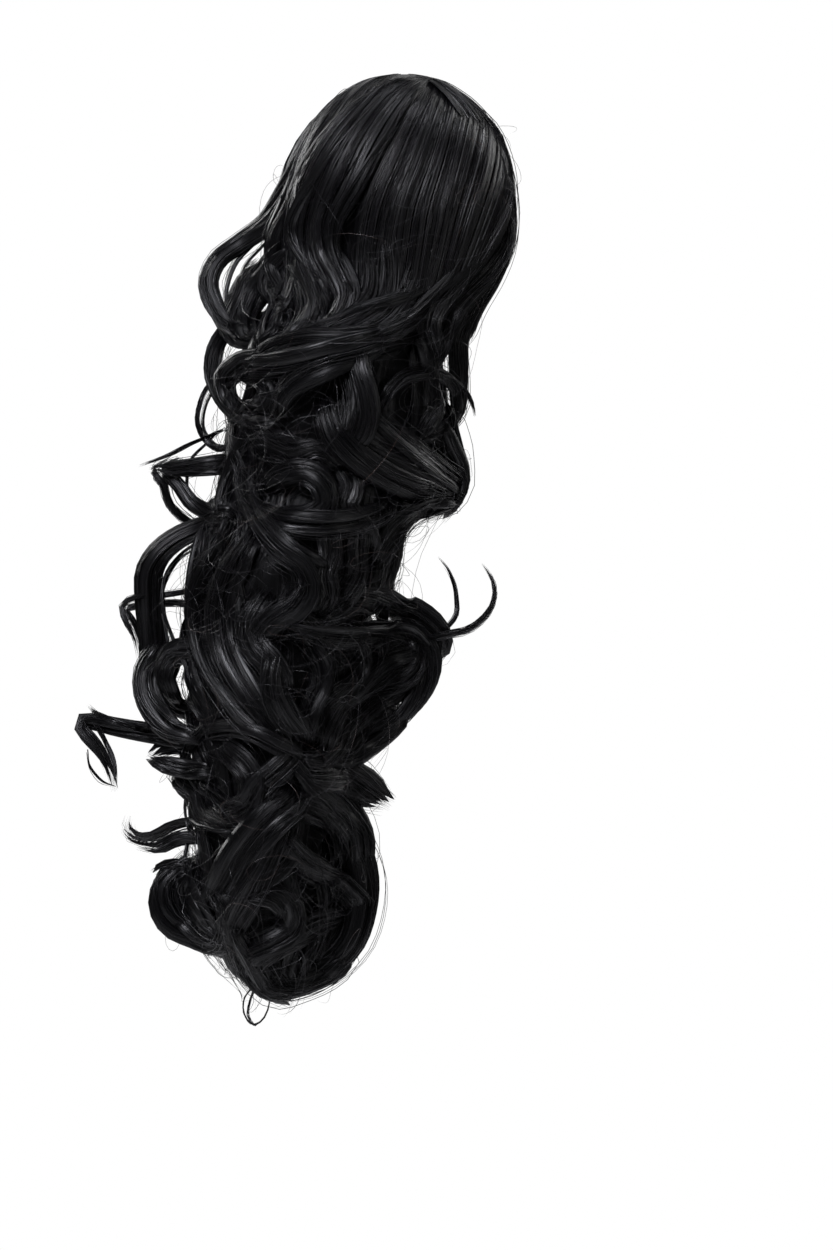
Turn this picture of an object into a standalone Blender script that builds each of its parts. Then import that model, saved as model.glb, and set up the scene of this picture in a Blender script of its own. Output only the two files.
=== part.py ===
"""A claw-clip ponytail hairpiece of loose dark curls, held as it hangs when it is worn.

The world frame has +Z up, +Y towards the wearer's face and +X to the wearer's right, in metres.
The origin is the point on the back of the head where the clip sits. All sizes below are in
millimetres. The hair is laid out in a show view, from behind the wearer's right shoulder: a point
lies so far across to the right, so far out towards the viewer and so far down from the clip seat.
"""

import math

import bmesh
import bpy
import numpy as np
from mathutils import Vector

MM = 0.001
GAP = 0.4
SHOW_TURN = math.radians(55)

# The claw clip: one plain C of plastic, round its own vertical spine, open to the head.
CLIP_HALF_WIDTH = 22
CLIP_BACK = -44
CLIP_FRONT = -2
CLIP_TOP = 22
CLIP_BOTTOM = -58
CLIP_WALL = 3
CLIP_TEETH = 6
CLIP_TOOTH_LENGTH = 13
CLIP_ARC_STEPS = 16
FAR_OUTSIDE = 150

# The back of the head, where the hair and the clip's teeth stop.
HEAD_CENTRE = (0, 76.5, -52)
HEAD_HALF_SIZES = (75, 100, 80)

# The parting between the two crown wefts, from the top ridge down to the hem.
HEM = 65
WEFT_RISE = 2.5
PARTING = (
    # across, down
    (-4, -70),
    (-7, -47),
    (-18, -38),
    (-35, -10),
    (-43, 12),
    (-49, 25),
    (-50, 36),
    (-46, 49),
    (-42, 80),
)

# Level sections of the whole mass of hair, from the top of the crown to the tail's end.
BODY = (
    # down, across, half width, half depth
    (-49, -18, 6, 6),
    (-46, -18, 18, 17),
    (-40, -18, 29, 27),
    (-30, -18, 40, 37),
    (-17, -18, 49, 45),
    (0, -19, 54, 50),
    (20, -20, 56, 52),
    (40, -21, 53, 50),
    (65, -30, 49, 47),
    (84, -44, 49, 46),
    (118, -50, 48, 46),
    (156, -54, 47, 46),
    (185, -68, 45, 45),
    (228, -74, 42, 44),
    (276, -79, 33, 40),
    (324, -82, 29, 35),
    (365, -85, 25, 27),
    (395, -80, 8, 9),
)
CROWN_SIDES = 32
TAIL_SIDES = 20
TAIL_TIP = 393
RIPPLES = 6
RIPPLE_DEPTH = 0.07
RIPPLE_PITCH = 95

# A lock is a flattened strip of hair that lies on the mass, or stands off it by its lift.
LOCK_SIDES = 5
LOCK_STEP = 14
DRAPE_SPREAD = 1.25
FACE_VIEWER = 0.75
TIP_SHARE = 0.55

LEFT_LOCKS = (
    # name, width, thickness, bends as (across, down, lift)
    ("loop", 8, 5, ((-64, -10, -2), (-77, 14, 0), (-94, 30, 2), (-109, 42, 4), (-112, 56, 5),
                    (-108, 71, 7), (-98, 80, 9))),
    ("outer sweep", 11, 6, ((-43, -34, 0), (-60, 0, 3), (-69, 19, 4), (-70, 31, 4), (-63, 44, 5),
                            (-58, 58, 6))),
    ("inner sweep", 9, 5, ((-30, -37, 1), (-50, -5, 4), (-60, 19, 5), (-59, 34, 5), (-53, 46, 5),
                           (-49, 58, 5))),
)

RIGHT_LOCKS = (
    ("right sweep", 12, 6, ((24, -20, 1), (31, 12, 3), (25, 31, 4), (12, 47, 5), (-2, 59, 6))),
)

TAIL_LOCKS = (
    ("left outer", 10, 7, ((-86, 70, -5), (-104, 80, -5), (-111, 92, -3), (-108, 108, 1),
                           (-100, 121, 4), (-92, 136, 4))),
    ("left eye", 9, 6, ((-38, 86, 5), (-53, 92, 8), (-78, 93, 6), (-95, 92, 4), (-105, 98, 1),
                        (-106, 108, 0), (-98, 119, 3), (-84, 121, 5))),
    ("upper roll", 13, 8, ((-8, 70, 5), (-17, 76, 8), (-36, 82, 10), (-57, 81, 9), (-74, 83, 7),
                           (-87, 80, 3))),
    ("centre lock", 12, 7, ((-38, 84, 4), (-32, 93, 8), (-30, 106, 10), (-35, 118, 8),
                            (-43, 128, 4))),
    ("right hang", 9, 6, ((14, 70, 0), (13, 80, 0), (12, 91, 0), (10, 106, 0), (5, 118, 0),
                          (-6, 127, 3))),
    ("right swirl", 8, 5, ((-26, 109, 4), (-18, 100, 6), (-5, 97, 6), (7, 102, 2), (9, 113, 1))),
    ("low diagonal", 13, 7, ((-57, 112, 4), (-50, 127, 8), (-38, 138, 9), (-25, 148, 8),
                             (-11, 156, 6), (10, 155, 1))),
    ("high diagonal", 12, 7, ((-31, 118, 6), (-17, 128, 8), (-4, 138, 8), (7, 149, 5),
                              (12, 157, 2))),
    ("right fold", 14, 9, ((8, 112, 0), (12, 134, 0), (10, 154, 0), (-2, 163, 2), (-14, 168, 5),
                           (-26, 180, 4))),
    ("second eye", 10, 7, ((-81, 144, 4), (-68, 144, 8), (-57, 151, 9), (-55, 163, 9),
                           (-66, 172, 8), (-80, 171, 6))),
    ("waist roll", 14, 8, ((-23, 155, 4), (-42, 166, 8), (-58, 172, 9), (-76, 178, 8),
                           (-90, 178, 5))),
    ("left curve", 12, 7, ((-93, 131, 2), (-94, 150, 5), (-88, 166, 7), (-78, 178, 8),
                           (-66, 188, 6))),
    ("left flag", 8, 5, ((-92, 137, 0), (-114, 140, 0), (-130, 140, -2), (-138, 144, -2),
                         (-134, 154, -1), (-126, 164, 0), (-108, 169, 0))),
    ("left arch", 8, 6, ((-94, 161, 2), (-113, 167, 0), (-129, 173, 0), (-139, 185, 0),
                         (-143, 199, 0), (-141, 214, 0), (-140, 230, 0), (-141, 244, 0))),
    ("left cheek", 9, 6, ((-108, 224, 0), (-129, 228, 0), (-141, 237, 0), (-144, 248, 0),
                          (-138, 260, 0), (-128, 270, 0))),
    ("far left", 7, 5, ((-94, 269, 4), (-118, 272, 2), (-139, 271, 0), (-154, 267, 0),
                        (-166, 261, 0), (-176, 261, 0))),
    ("far tip", 7, 5, ((-177, 257, 0), (-172, 265, 0), (-166, 275, 0), (-160, 286, 0),
                       (-156, 297, 0))),
    ("low left", 9, 6, ((-84, 306, 6), (-103, 311, 4), (-120, 312, 0), (-134, 316, 0),
                        (-152, 312, 0))),
    ("middle left", 9, 6, ((-93, 288, 4), (-112, 283, 2), (-127, 279, 0), (-140, 283, 0))),
    ("left fall", 10, 7, ((-104, 160, 1), (-112, 182, 2), (-116, 204, 2), (-113, 223, 3),
                          (-107, 242, 4), (-95, 259, 5))),
    ("inner fall", 14, 8, ((-86, 180, 5), (-93, 208, 6), (-91, 228, 7), (-84, 247, 8),
                           (-75, 267, 8), (-68, 280, 6))),
    ("right crest", 17, 9, ((-69, 220, 6), (-50, 213, 8), (-31, 207, 4), (-13, 207, 1),
                            (1, 217, 0))),
    ("right ring", 10, 8, ((-10, 207, 0), (0, 219, 0), (1, 232, 0), (-4, 247, 0), (-14, 260, 0),
                           (-34, 268, 4))),
    ("right inner", 14, 8, ((-9, 222, 2), (-24, 233, 4), (-38, 245, 6), (-49, 260, 8),
                            (-59, 281, 7))),
    ("right lobe", 11, 7, ((-15, 246, 0), (-21, 259, 2), (-30, 272, 3), (-43, 282, 6),
                           (-60, 284, 7))),
    ("short hook", 4, 4, ((-2, 221, 0), (6, 215, 0), (9, 206, 0), (5, 195, 0), (-4, 184, 0))),
    ("long hook", 4, 4, ((-3, 224, 0), (12, 220, 0), (23, 209, 0), (25, 196, 0), (20, 188, 0))),
    ("left crook", 9, 6, ((-126, 284, 0), (-113, 273, 2), (-96, 267, 4), (-81, 270, 8),
                          (-66, 280, 8))),
    ("broad diagonal", 17, 9, ((-66, 281, 8), (-76, 296, 10), (-88, 311, 11), (-98, 324, 9),
                               (-106, 338, 5), (-108, 352, 2))),
    ("inner diagonal", 14, 8, ((-68, 294, 6), (-75, 315, 8), (-85, 332, 9), (-96, 345, 7),
                               (-103, 362, 2))),
    ("right strand", 13, 8, ((-67, 283, 8), (-57, 291, 9), (-43, 304, 6), (-35, 318, 2),
                             (-33, 334, 0))),
    ("blunt stub", 12, 9, ((-63, 280, 8), (-46, 284, 8), (-31, 291, 3), (-22, 302, 0))),
    ("big ring", 14, 9, ((-36, 322, 0), (-33, 345, 0), (-37, 366, 0), (-48, 382, 0),
                         (-62, 389, 0), (-80, 390, 0))),
    ("ring bridge", 10, 7, ((-76, 318, 8), (-63, 331, 8), (-49, 340, 5), (-36, 350, 1))),
    ("ring heart", 9, 7, ((-50, 342, 4), (-66, 345, 7), (-78, 353, 8), (-79, 366, 7),
                          (-70, 376, 4))),
    ("last curl", 12, 8, ((-90, 366, 3), (-83, 381, 3), (-74, 391, 2), (-66, 398, 1))),
    ("low ring", 14, 9, ((-104, 337, 0), (-121, 332, 0), (-134, 337, 0), (-135, 349, 0),
                         (-130, 360, 0), (-117, 369, 0), (-100, 373, 0))),
)

# The far side falls in ringlets of one kind, which start at these places round the mass.
RINGLETS = (
    # bearing from the viewer in degrees, start down, length
    (98, 92, 120),
    (132, 80, 130),
    (166, 92, 120),
    (200, 80, 130),
    (234, 92, 120),
    (264, 84, 125),
    (118, 205, 125),
    (156, 190, 120),
    (196, 205, 125),
    (236, 192, 120),
    (145, 300, 80),
    (215, 304, 80),
)
RINGLET_WIDTH = 17
RINGLET_THICKNESS = 10
RINGLET_WAVE = 70
RINGLET_SWAY_DEGREES = 14
RINGLET_LIFT = 3
RINGLET_RISE = 4
RINGLET_BENDS = 8
RINGLET_END = TAIL_TIP - 8

COLOURS = {
    # linear colour, roughness
    "hair": ((0.010, 0.0095, 0.010), 0.38),
    "plastic": ((0.012, 0.012, 0.012), 0.30),
}


def clear_scene():
    for old in list(bpy.data.objects):
        bpy.data.objects.remove(old, do_unlink=True)


def material(name, kind):
    colour, roughness = COLOURS[kind]
    made = bpy.data.materials.new(name)
    made.use_nodes = True
    made.diffuse_color = (*colour, 1)
    shader = made.node_tree.nodes["Principled BSDF"]
    shader.inputs["Base Color"].default_value = (*colour, 1)
    shader.inputs["Roughness"].default_value = roughness
    shader.inputs["Metallic"].default_value = 0
    return made


def eased(knots, values, at):
    """The value at a place on a smooth curve through values at rising knots."""
    slopes = np.gradient(values, knots)
    i = int(np.clip(np.searchsorted(knots, at) - 1, 0, len(knots) - 2))
    span = knots[i + 1] - knots[i]
    t = min(max((at - knots[i]) / span, 0), 1)
    start = (1 + 2 * t) * (1 - t) ** 2 * values[i] + t * (1 - t) ** 2 * span * slopes[i]
    end = t * t * (3 - 2 * t) * values[i + 1] + t * t * (t - 1) * span * slopes[i + 1]
    return start + end


def section_at(down):
    """Across, half width and half depth of the mass of hair at a level."""
    table = np.array(BODY, float)
    return [eased(table[:, 0], table[:, column], down) for column in (1, 2, 3)]


def shown(across, out, down):
    """The world point, in metres, of a place in the show view. Out is 0 on the tail's centre."""
    away = section_at(down)[0] / math.tan(SHOW_TURN) - out
    x = across * math.cos(SHOW_TURN) - away * math.sin(SHOW_TURN)
    y = across * math.sin(SHOW_TURN) + away * math.cos(SHOW_TURN)
    return Vector((x, y, -down)) * MM


TO_VIEWER = Vector((math.sin(SHOW_TURN), -math.cos(SHOW_TURN), 0))


def draped(across, down, lift):
    """The world point of a lock's bend, which lies over the near half of the mass."""
    centre, half_width, half_depth = section_at(down)
    share = min(1, abs(across - centre) / (DRAPE_SPREAD * half_width))
    return shown(across, half_depth * math.cos(share * math.pi / 2) + lift, down)


def wrapped(bearing, down, lift):
    """The world point that stands off the mass by lift, at a bearing from the viewer."""
    centre, half_width, half_depth = section_at(down)
    across = centre + (half_width + lift) * math.sin(bearing)
    return shown(across, (half_depth + lift) * math.cos(bearing), down)


def route(bends, step):
    """Evenly spaced points on a smooth curve through the bends."""
    points = np.array([tuple(bend) for bend in bends])
    runs = np.linalg.norm(np.diff(points, axis=0), axis=1)
    knots = np.concatenate([[0], np.cumsum(runs)])
    count = max(4, round(knots[-1] / (step * MM)))
    places = np.linspace(0, knots[-1], count + 1)
    return [Vector([eased(knots, points[:, axis], at) for axis in range(3)]) for at in places]


def outward(point):
    """The level direction from the middle of the mass to a point."""
    centre = shown(section_at(-point.z / MM)[0], 0, -point.z / MM)
    away = (point - centre) * Vector((1, 1, 0))
    return away.normalized() if away.length > MM else TO_VIEWER.copy()


def new_object(name, mesh_maker):
    """An object of the mesh that mesh_maker leaves in a bmesh, as triangles facing out."""
    shape = bmesh.new()
    mesh_maker(shape)
    bmesh.ops.triangulate(shape, faces=shape.faces[:])
    bmesh.ops.recalc_face_normals(shape, faces=shape.faces[:])
    mesh = bpy.data.meshes.new(name)
    shape.to_mesh(mesh)
    shape.free()
    made = bpy.data.objects.new(name, mesh)
    bpy.context.scene.collection.objects.link(made)
    return made


def skin(shape, rings):
    """Closes a row of equal rings of points into one solid."""
    rows = [[shape.verts.new(point) for point in ring] for ring in rings]
    count = len(rows[0])
    for low, high in zip(rows, rows[1:]):
        for k in range(count):
            shape.faces.new((low[k], low[(k + 1) % count], high[(k + 1) % count], high[k]))
    shape.faces.new(rows[0])
    shape.faces.new(rows[-1])


def lock(name, bends, width, thickness, face_viewer, grow=0):
    """A tapered flat strip of hair through world points."""
    line = route(bends, LOCK_STEP)
    rings = []
    for i, middle in enumerate(line):
        along = (line[min(i + 1, len(line) - 1)] - line[max(i - 1, 0)]).normalized()
        facing = TO_VIEWER * face_viewer + outward(middle) * (1 - face_viewer)
        side = along.cross(facing).normalized()
        top = side.cross(along)
        swell = max(0, math.sin(math.pi * i / (len(line) - 1)))
        fullness = TIP_SHARE + (1 - TIP_SHARE) * math.sqrt(swell)
        half_width = (width * fullness / 2 + grow) * MM
        half_thickness = (thickness * fullness / 2 + grow) * MM
        turns = [2 * math.pi * k / LOCK_SIDES for k in range(LOCK_SIDES)]
        rings.append(
            [
                middle + side * half_width * math.cos(t) + top * half_thickness * math.sin(t)
                for t in turns
            ]
        )
    return new_object(name, lambda shape: skin(shape, rings))


def shown_locks(table, grow=0):
    made = []
    for name, width, thickness, bends in table:
        places = [draped(*bend) for bend in bends]
        made.append(lock(name, places, width, thickness, FACE_VIEWER, grow))
    return made


def ringlet(bearing, start, length):
    """One hanging far-side lock, which sways as it falls and ends in a curl."""
    bends = []
    for k in range(RINGLET_BENDS + 1):
        fall = length * k / RINGLET_BENDS
        phase = 2 * math.pi * fall / RINGLET_WAVE
        sway = math.radians(bearing + RINGLET_SWAY_DEGREES * math.sin(phase))
        lift = RINGLET_LIFT + RINGLET_RISE * math.cos(phase)
        bends.append(wrapped(sway, min(start + fall, RINGLET_END), lift))
    return lock("ringlet", bends, RINGLET_WIDTH, RINGLET_THICKNESS, 0)


def mass(name, top, bottom, sides, grow=0, ripple=0.0):
    """The body of hair between two levels, with level ends."""
    levels = [row[0] for row in BODY if top < row[0] < bottom]
    levels = [top, *levels, bottom]
    halfway = [(high + low) / 2 for high, low in zip(levels, levels[1:])]
    crown_stretch = 1 - grow / BODY[0][0]
    rings = []
    for down in sorted(levels + halfway):
        level = down * crown_stretch if down < 0 else down
        ring = []
        for k in range(sides):
            bearing = 2 * math.pi * k / sides
            wave = math.cos(RIPPLES * bearing + 2 * math.pi * down / RIPPLE_PITCH)
            centre, half_width, half_depth = section_at(down)
            swell = 1 + ripple * wave
            across = centre + (half_width * swell + grow) * math.sin(bearing)
            ring.append(shown(across, (half_depth * swell + grow) * math.cos(bearing), level))
        rings.append(ring)
    return new_object(name, lambda shape: skin(shape, rings))


def combine(target, others, operation):
    """Joins other solids to the target, or cuts them from it, all at once, and removes them."""
    group = bpy.data.collections.new("operands")
    for other in others:
        other.hide_render = True
        other.display_type = "WIRE"
        group.objects.link(other)
    step = target.modifiers.new(operation.lower(), "BOOLEAN")
    step.operand_type = "COLLECTION"
    step.collection = group
    step.operation = operation
    step.solver = "EXACT"
    step.use_self = operation == "UNION"
    bpy.context.view_layer.objects.active = target
    bpy.ops.object.modifier_apply(modifier=step.name)
    for other in others:
        bpy.data.objects.remove(other, do_unlink=True)
    bpy.data.collections.remove(group)
    return target


def keep_main_body(made):
    """Drops the closed scraps and pockets that overlapping locks leave in a union."""
    shape = bmesh.new()
    shape.from_mesh(made.data)
    bmesh.ops.triangulate(shape, faces=shape.faces[:])
    unseen = set(shape.faces)
    bodies = []
    while unseen:
        body = {unseen.pop()}
        edge_of = list(body)
        while edge_of:
            face = edge_of.pop()
            for edge in face.edges:
                for other in edge.link_faces:
                    if other in unseen:
                        unseen.discard(other)
                        body.add(other)
                        edge_of.append(other)
        bodies.append(body)
    bodies.sort(key=len)
    scraps = [face for body in bodies[:-1] for face in body]
    bmesh.ops.delete(shape, geom=scraps, context="FACES")
    shape.to_mesh(made.data)
    shape.free()
    print(made.name, len(bodies) - 1, "scraps dropped,", len(made.data.polygons), "faces")
    return made


def head_cutter(grow=0):
    def ball(shape):
        bmesh.ops.create_uvsphere(shape, u_segments=32, v_segments=20, radius=1)
        for vert in shape.verts:
            for axis in range(3):
                size = HEAD_HALF_SIZES[axis] + grow
                vert.co[axis] = (HEAD_CENTRE[axis] + vert.co[axis] * size) * MM

    return new_object("head cutter", ball)


def prism(name, outline, low, high):
    """A solid of a plan outline in world millimetres, between two heights."""
    rings = [[Vector((x, y, z)) * MM for x, y in outline] for z in (low, high)]
    return new_object(name, lambda shape: skin(shape, rings))


def clip_arc(inset):
    """Plan points round the back of the clip, from one front edge to the other."""
    depth = CLIP_FRONT - CLIP_BACK - inset
    points = []
    for k in range(CLIP_ARC_STEPS + 1):
        turn = math.pi * k / CLIP_ARC_STEPS
        across = (CLIP_HALF_WIDTH - inset) * math.cos(turn)
        points.append((across, CLIP_FRONT - depth * math.sin(turn)))
    return points


def claw_clip():
    """The hidden clip: a spine and two jaws in one piece, with teeth along both front edges."""
    outline = clip_arc(0) + clip_arc(CLIP_WALL)[::-1]
    clip = prism("claw_clip", outline, CLIP_BOTTOM, CLIP_TOP)
    pitch = (CLIP_TOP - CLIP_BOTTOM) / (CLIP_TEETH - 0.5)
    reach = CLIP_HALF_WIDTH + CLIP_WALL
    front = CLIP_FRONT + CLIP_WALL
    back = CLIP_FRONT - CLIP_TOOTH_LENGTH
    notch = [(-reach, back), (reach, back), (reach, front), (-reach, front)]
    notches = []
    for k in range(CLIP_TEETH - 1):
        low = CLIP_BOTTOM + pitch * (k + 0.5)
        notches.append(prism("notch", notch, low, low + pitch / 2))
    combine(clip, notches, "DIFFERENCE")
    combine(clip, [head_cutter(GAP)], "DIFFERENCE")
    return keep_main_body(clip)


def clip_room():
    """The space that the clip and the head side take out of the hair."""
    half_width = CLIP_HALF_WIDTH + GAP
    outline = clip_arc(-GAP) + [(-half_width, FAR_OUTSIDE), (half_width, FAR_OUTSIDE)]
    return prism("clip room", outline, -FAR_OUTSIDE, CLIP_TOP + GAP)


def beside_parting(side):
    """All the space on one side of the parting, half a gap short of it."""
    far = side * FAR_OUTSIDE
    edge = [(across + side * GAP / 2, down) for across, down in PARTING]
    outline = edge + [(far, PARTING[-1][1]), (far, PARTING[0][1])]

    def slab(shape):
        rings = []
        for away in (-FAR_OUTSIDE, FAR_OUTSIDE):
            ring = []
            for across, down in outline:
                x = across * math.cos(SHOW_TURN) - away * math.sin(SHOW_TURN)
                y = across * math.sin(SHOW_TURN) + away * math.cos(SHOW_TURN)
                ring.append(Vector((x, y, -down)) * MM)
            rings.append(ring)
        skin(shape, rings)

    return new_object("beside parting", slab)


def crown_weft(name, side, rise, table):
    """Half of the crown: hair that is folded over the clip and falls to the hem."""
    weft = mass(name, BODY[0][0], HEM, CROWN_SIDES, grow=rise)
    combine(weft, [beside_parting(side)], "INTERSECT")
    combine(weft, shown_locks(table), "UNION")
    combine(weft, [clip_room(), head_cutter()], "DIFFERENCE")
    return keep_main_body(weft)


def tail_hair():
    """The tail: its inner mass with every curl fused on, clear of the crown above."""
    tail = mass("tail_hair", HEM + GAP, TAIL_TIP, TAIL_SIDES, ripple=RIPPLE_DEPTH)
    curls = shown_locks(TAIL_LOCKS) + [ringlet(*row) for row in RINGLETS]
    combine(tail, curls, "UNION")
    crown = mass("crown room", BODY[0][0], HEM + GAP, CROWN_SIDES, grow=WEFT_RISE + GAP)
    crown_locks = shown_locks(LEFT_LOCKS + RIGHT_LOCKS, grow=GAP)
    combine(tail, [crown, *crown_locks, head_cutter()], "DIFFERENCE")
    return keep_main_body(tail)


def finish(made, finish_material):
    made.data.materials.clear()
    made.data.materials.append(finish_material)
    made.data.shade_smooth()
    made.data.set_sharp_from_angle(angle=math.radians(40))


def main():
    clear_scene()
    pieces = {
        "plastic": [claw_clip()],
        "hair": [
            crown_weft("left_crown_weft", -1, WEFT_RISE, LEFT_LOCKS),
            crown_weft("right_crown_weft", 1, 0, RIGHT_LOCKS),
            tail_hair(),
        ],
    }
    for kind, made in pieces.items():
        for piece in made:
            finish(piece, material(f"{piece.name} finish", kind))


main()
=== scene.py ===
# %% [markdown]
# A curly claw-clip ponytail, dressed over its solid model. The solids hold the sizes; this lesson
# makes the hair that is seen. Hair could be made as one textured surface, as flat cards or as
# strands. Here it is strands over flat ribbons, because curls are judged by their edges and their
# gloss, and one surface always looks like rope.

import math

import bpy
import numpy as np
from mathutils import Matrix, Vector


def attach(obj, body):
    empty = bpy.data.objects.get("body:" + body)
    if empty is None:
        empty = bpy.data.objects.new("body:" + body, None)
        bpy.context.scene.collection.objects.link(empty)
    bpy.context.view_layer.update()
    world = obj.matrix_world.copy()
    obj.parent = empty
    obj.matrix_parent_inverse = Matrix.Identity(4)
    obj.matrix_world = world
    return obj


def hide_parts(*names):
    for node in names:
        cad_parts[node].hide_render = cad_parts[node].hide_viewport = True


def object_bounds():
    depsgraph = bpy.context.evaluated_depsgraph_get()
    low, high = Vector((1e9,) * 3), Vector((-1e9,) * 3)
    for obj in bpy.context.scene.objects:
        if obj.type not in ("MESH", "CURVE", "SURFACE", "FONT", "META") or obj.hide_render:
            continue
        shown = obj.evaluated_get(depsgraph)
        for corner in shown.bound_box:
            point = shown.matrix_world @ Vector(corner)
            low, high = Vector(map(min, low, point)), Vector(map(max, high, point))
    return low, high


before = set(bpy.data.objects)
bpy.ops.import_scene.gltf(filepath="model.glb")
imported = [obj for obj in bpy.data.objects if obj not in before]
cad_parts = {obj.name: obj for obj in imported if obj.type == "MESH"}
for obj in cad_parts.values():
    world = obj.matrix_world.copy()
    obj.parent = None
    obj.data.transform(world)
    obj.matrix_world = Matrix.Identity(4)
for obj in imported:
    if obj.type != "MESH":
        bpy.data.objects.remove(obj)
CAD_BOX = [list(corner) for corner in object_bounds()]
MM = 0.001
print("solids:", ", ".join(sorted(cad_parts)))

# %% [markdown]
# The hair is laid out in a show view, from behind and a little to the right, as the solids are. A
# place lies so many millimetres across to the right, out towards the viewer, and down from the
# clip's seat. The same level sections as in the solid model say how wide and deep the mass of hair
# is at each height, so every lock can be laid on it by two numbers and a lift.

# %% The show view and the mass of hair
SHOW_TURN = math.radians(55)
TO_VIEWER = np.array([math.sin(SHOW_TURN), -math.cos(SHOW_TURN), 0])
DRAPE_SPREAD = 1.25
BODY = np.array(
    [
        # down, across, half width, half depth
        (-49, -18, 6, 6),
        (-46, -18, 18, 17),
        (-40, -18, 29, 27),
        (-30, -18, 40, 37),
        (-17, -18, 49, 45),
        (0, -19, 54, 50),
        (20, -20, 56, 52),
        (40, -21, 53, 50),
        (65, -30, 49, 47),
        (84, -44, 49, 46),
        (118, -50, 48, 46),
        (156, -54, 47, 46),
        (185, -68, 45, 45),
        (228, -74, 42, 44),
        (276, -79, 33, 40),
        (324, -82, 29, 35),
        (365, -85, 25, 27),
        (395, -80, 8, 9),
    ],
    float,
)


def eased(knots, values, at):
    """Values on a smooth curve through the rows of values, at many places."""
    slopes = np.gradient(values, knots, axis=0)
    at = np.clip(at, knots[0], knots[-1])
    i = np.clip(np.searchsorted(knots, at) - 1, 0, len(knots) - 2)
    span = (knots[i + 1] - knots[i])[..., None]
    t = (at - knots[i])[..., None] / span
    start = (1 + 2 * t) * (1 - t) ** 2 * values[i] + t * (1 - t) ** 2 * span * slopes[i]
    end = t * t * (3 - 2 * t) * values[i + 1] + t * t * (t - 1) * span * slopes[i + 1]
    return start + end


def section_at(down):
    """Across, half width and half depth of the mass at many levels."""
    rows = eased(BODY[:, 0], BODY[:, 1:], np.asarray(down, float))
    return rows[..., 0], rows[..., 1], rows[..., 2]


print("crown half width at the seat:", section_at(0.0)[1], "mm")

# %% [markdown]
# From those numbers, four small functions find world points: one for any place in the view, one
# for places draped over the near half of the mass, one for places all round it, and one that turns
# a place across into a bearing.

# %% Places in the show view


def shown(across, out, down):
    """World points, in metres, of places in the show view."""
    away = section_at(down)[0] / math.tan(SHOW_TURN) - out
    x = across * math.cos(SHOW_TURN) - away * math.sin(SHOW_TURN)
    y = across * math.sin(SHOW_TURN) + away * math.cos(SHOW_TURN)
    return np.stack([x, y, -np.asarray(down, float)], axis=-1) * MM


def draped(across, down, lift):
    """World points of places that lie over the near half of the mass."""
    centre, half_width, half_depth = section_at(down)
    share = np.minimum(1, np.abs(across - centre) / (DRAPE_SPREAD * half_width))
    return shown(across, half_depth * np.cos(share * math.pi / 2) + lift, down)


def wrapped(bearing, down, lift):
    """World points that stand off the mass by lift, at bearings from the viewer."""
    centre, half_width, half_depth = section_at(down)
    across = centre + (half_width + lift) * np.sin(bearing)
    return shown(across, (half_depth + lift) * np.cos(bearing), down)


def bearing_of(across, down):
    """The bearing at which the mass is so far across, on its near half."""
    centre, half_width, _ = section_at(down)
    return np.arcsin(np.clip((across - centre) / half_width, -1, 1))


print("nearest hair at the seat:", np.round(wrapped(0.0, 0.0, 0.0), 3), "m")

# %% [markdown]
# The camera stands where the photograph was taken from: level with the hair, and far enough back
# for the flat look of a long lens. It is made early, because everything after it is judged through
# it.

# %% Camera
VIEW_HEIGHT = 0.600
VIEW_MIDDLE = (-11.3 * MM, -217.5 * MM)
VIEW_DISTANCE = 2.4
HAIR_NEARNESS = 0.05
SENSOR = 36.0

ACROSS_WAY = Vector((math.cos(SHOW_TURN), math.sin(SHOW_TURN), 0))
NEAR_WAY = Vector(TO_VIEWER)


def stand(across, near, up):
    """A world place from metres across, towards the viewer and up."""
    return ACROSS_WAY * across + NEAR_WAY * near + Vector((0, 0, up))


def aim(made, place, target):
    made.location = place
    made.rotation_euler = (target - place).to_track_quat("-Z", "Y").to_euler()


MIDDLE = stand(VIEW_MIDDLE[0], 0, VIEW_MIDDLE[1])
camera_data = bpy.data.cameras.new("camera")
camera_data.sensor_width = SENSOR
camera_data.lens = SENSOR * (VIEW_DISTANCE - HAIR_NEARNESS) / VIEW_HEIGHT
camera = bpy.data.objects.new("camera", camera_data)
bpy.context.scene.collection.objects.link(camera)
aim(camera, MIDDLE + NEAR_WAY * VIEW_DISTANCE, MIDDLE)
bpy.context.scene.camera = camera
print("camera lens:", round(camera_data.lens), "mm")

# %% [markdown]
# The studio is white behind the hair and dimmer round the camera, because black fibre shows its
# streaks only in a few soft lamps, and turns grey in an even white room. The floor is one plain
# sheet of pale paper, well below the hair.

# %% Lamps, world and floor
COOL_WHITE = (0.92, 0.92, 1)
WHITE = (1, 1, 1)
LAMPS = (
    # name, place as (across, near, up), width, height, power, colour
    ("key", (-0.8, 1.3, 1.1), 0.8, 0.8, 82, COOL_WHITE),
    ("fill", (1.3, 1.1, 0.2), 0.4, 1.2, 9, WHITE),
    ("top", (0.1, 0.2, 1.2), 0.9, 0.4, 22, (0.92, 0.93, 1)),
    ("rim", (-1.1, -1.0, 0.5), 0.4, 1.0, 22, WHITE),
    ("back", (1.1, -0.8, 0.5), 0.5, 1.0, 12, WHITE),
)
WORLD_SPREAD = {"From Min": 0.55, "From Max": 0.96, "To Min": 0.15, "To Max": 1.0}


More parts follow.
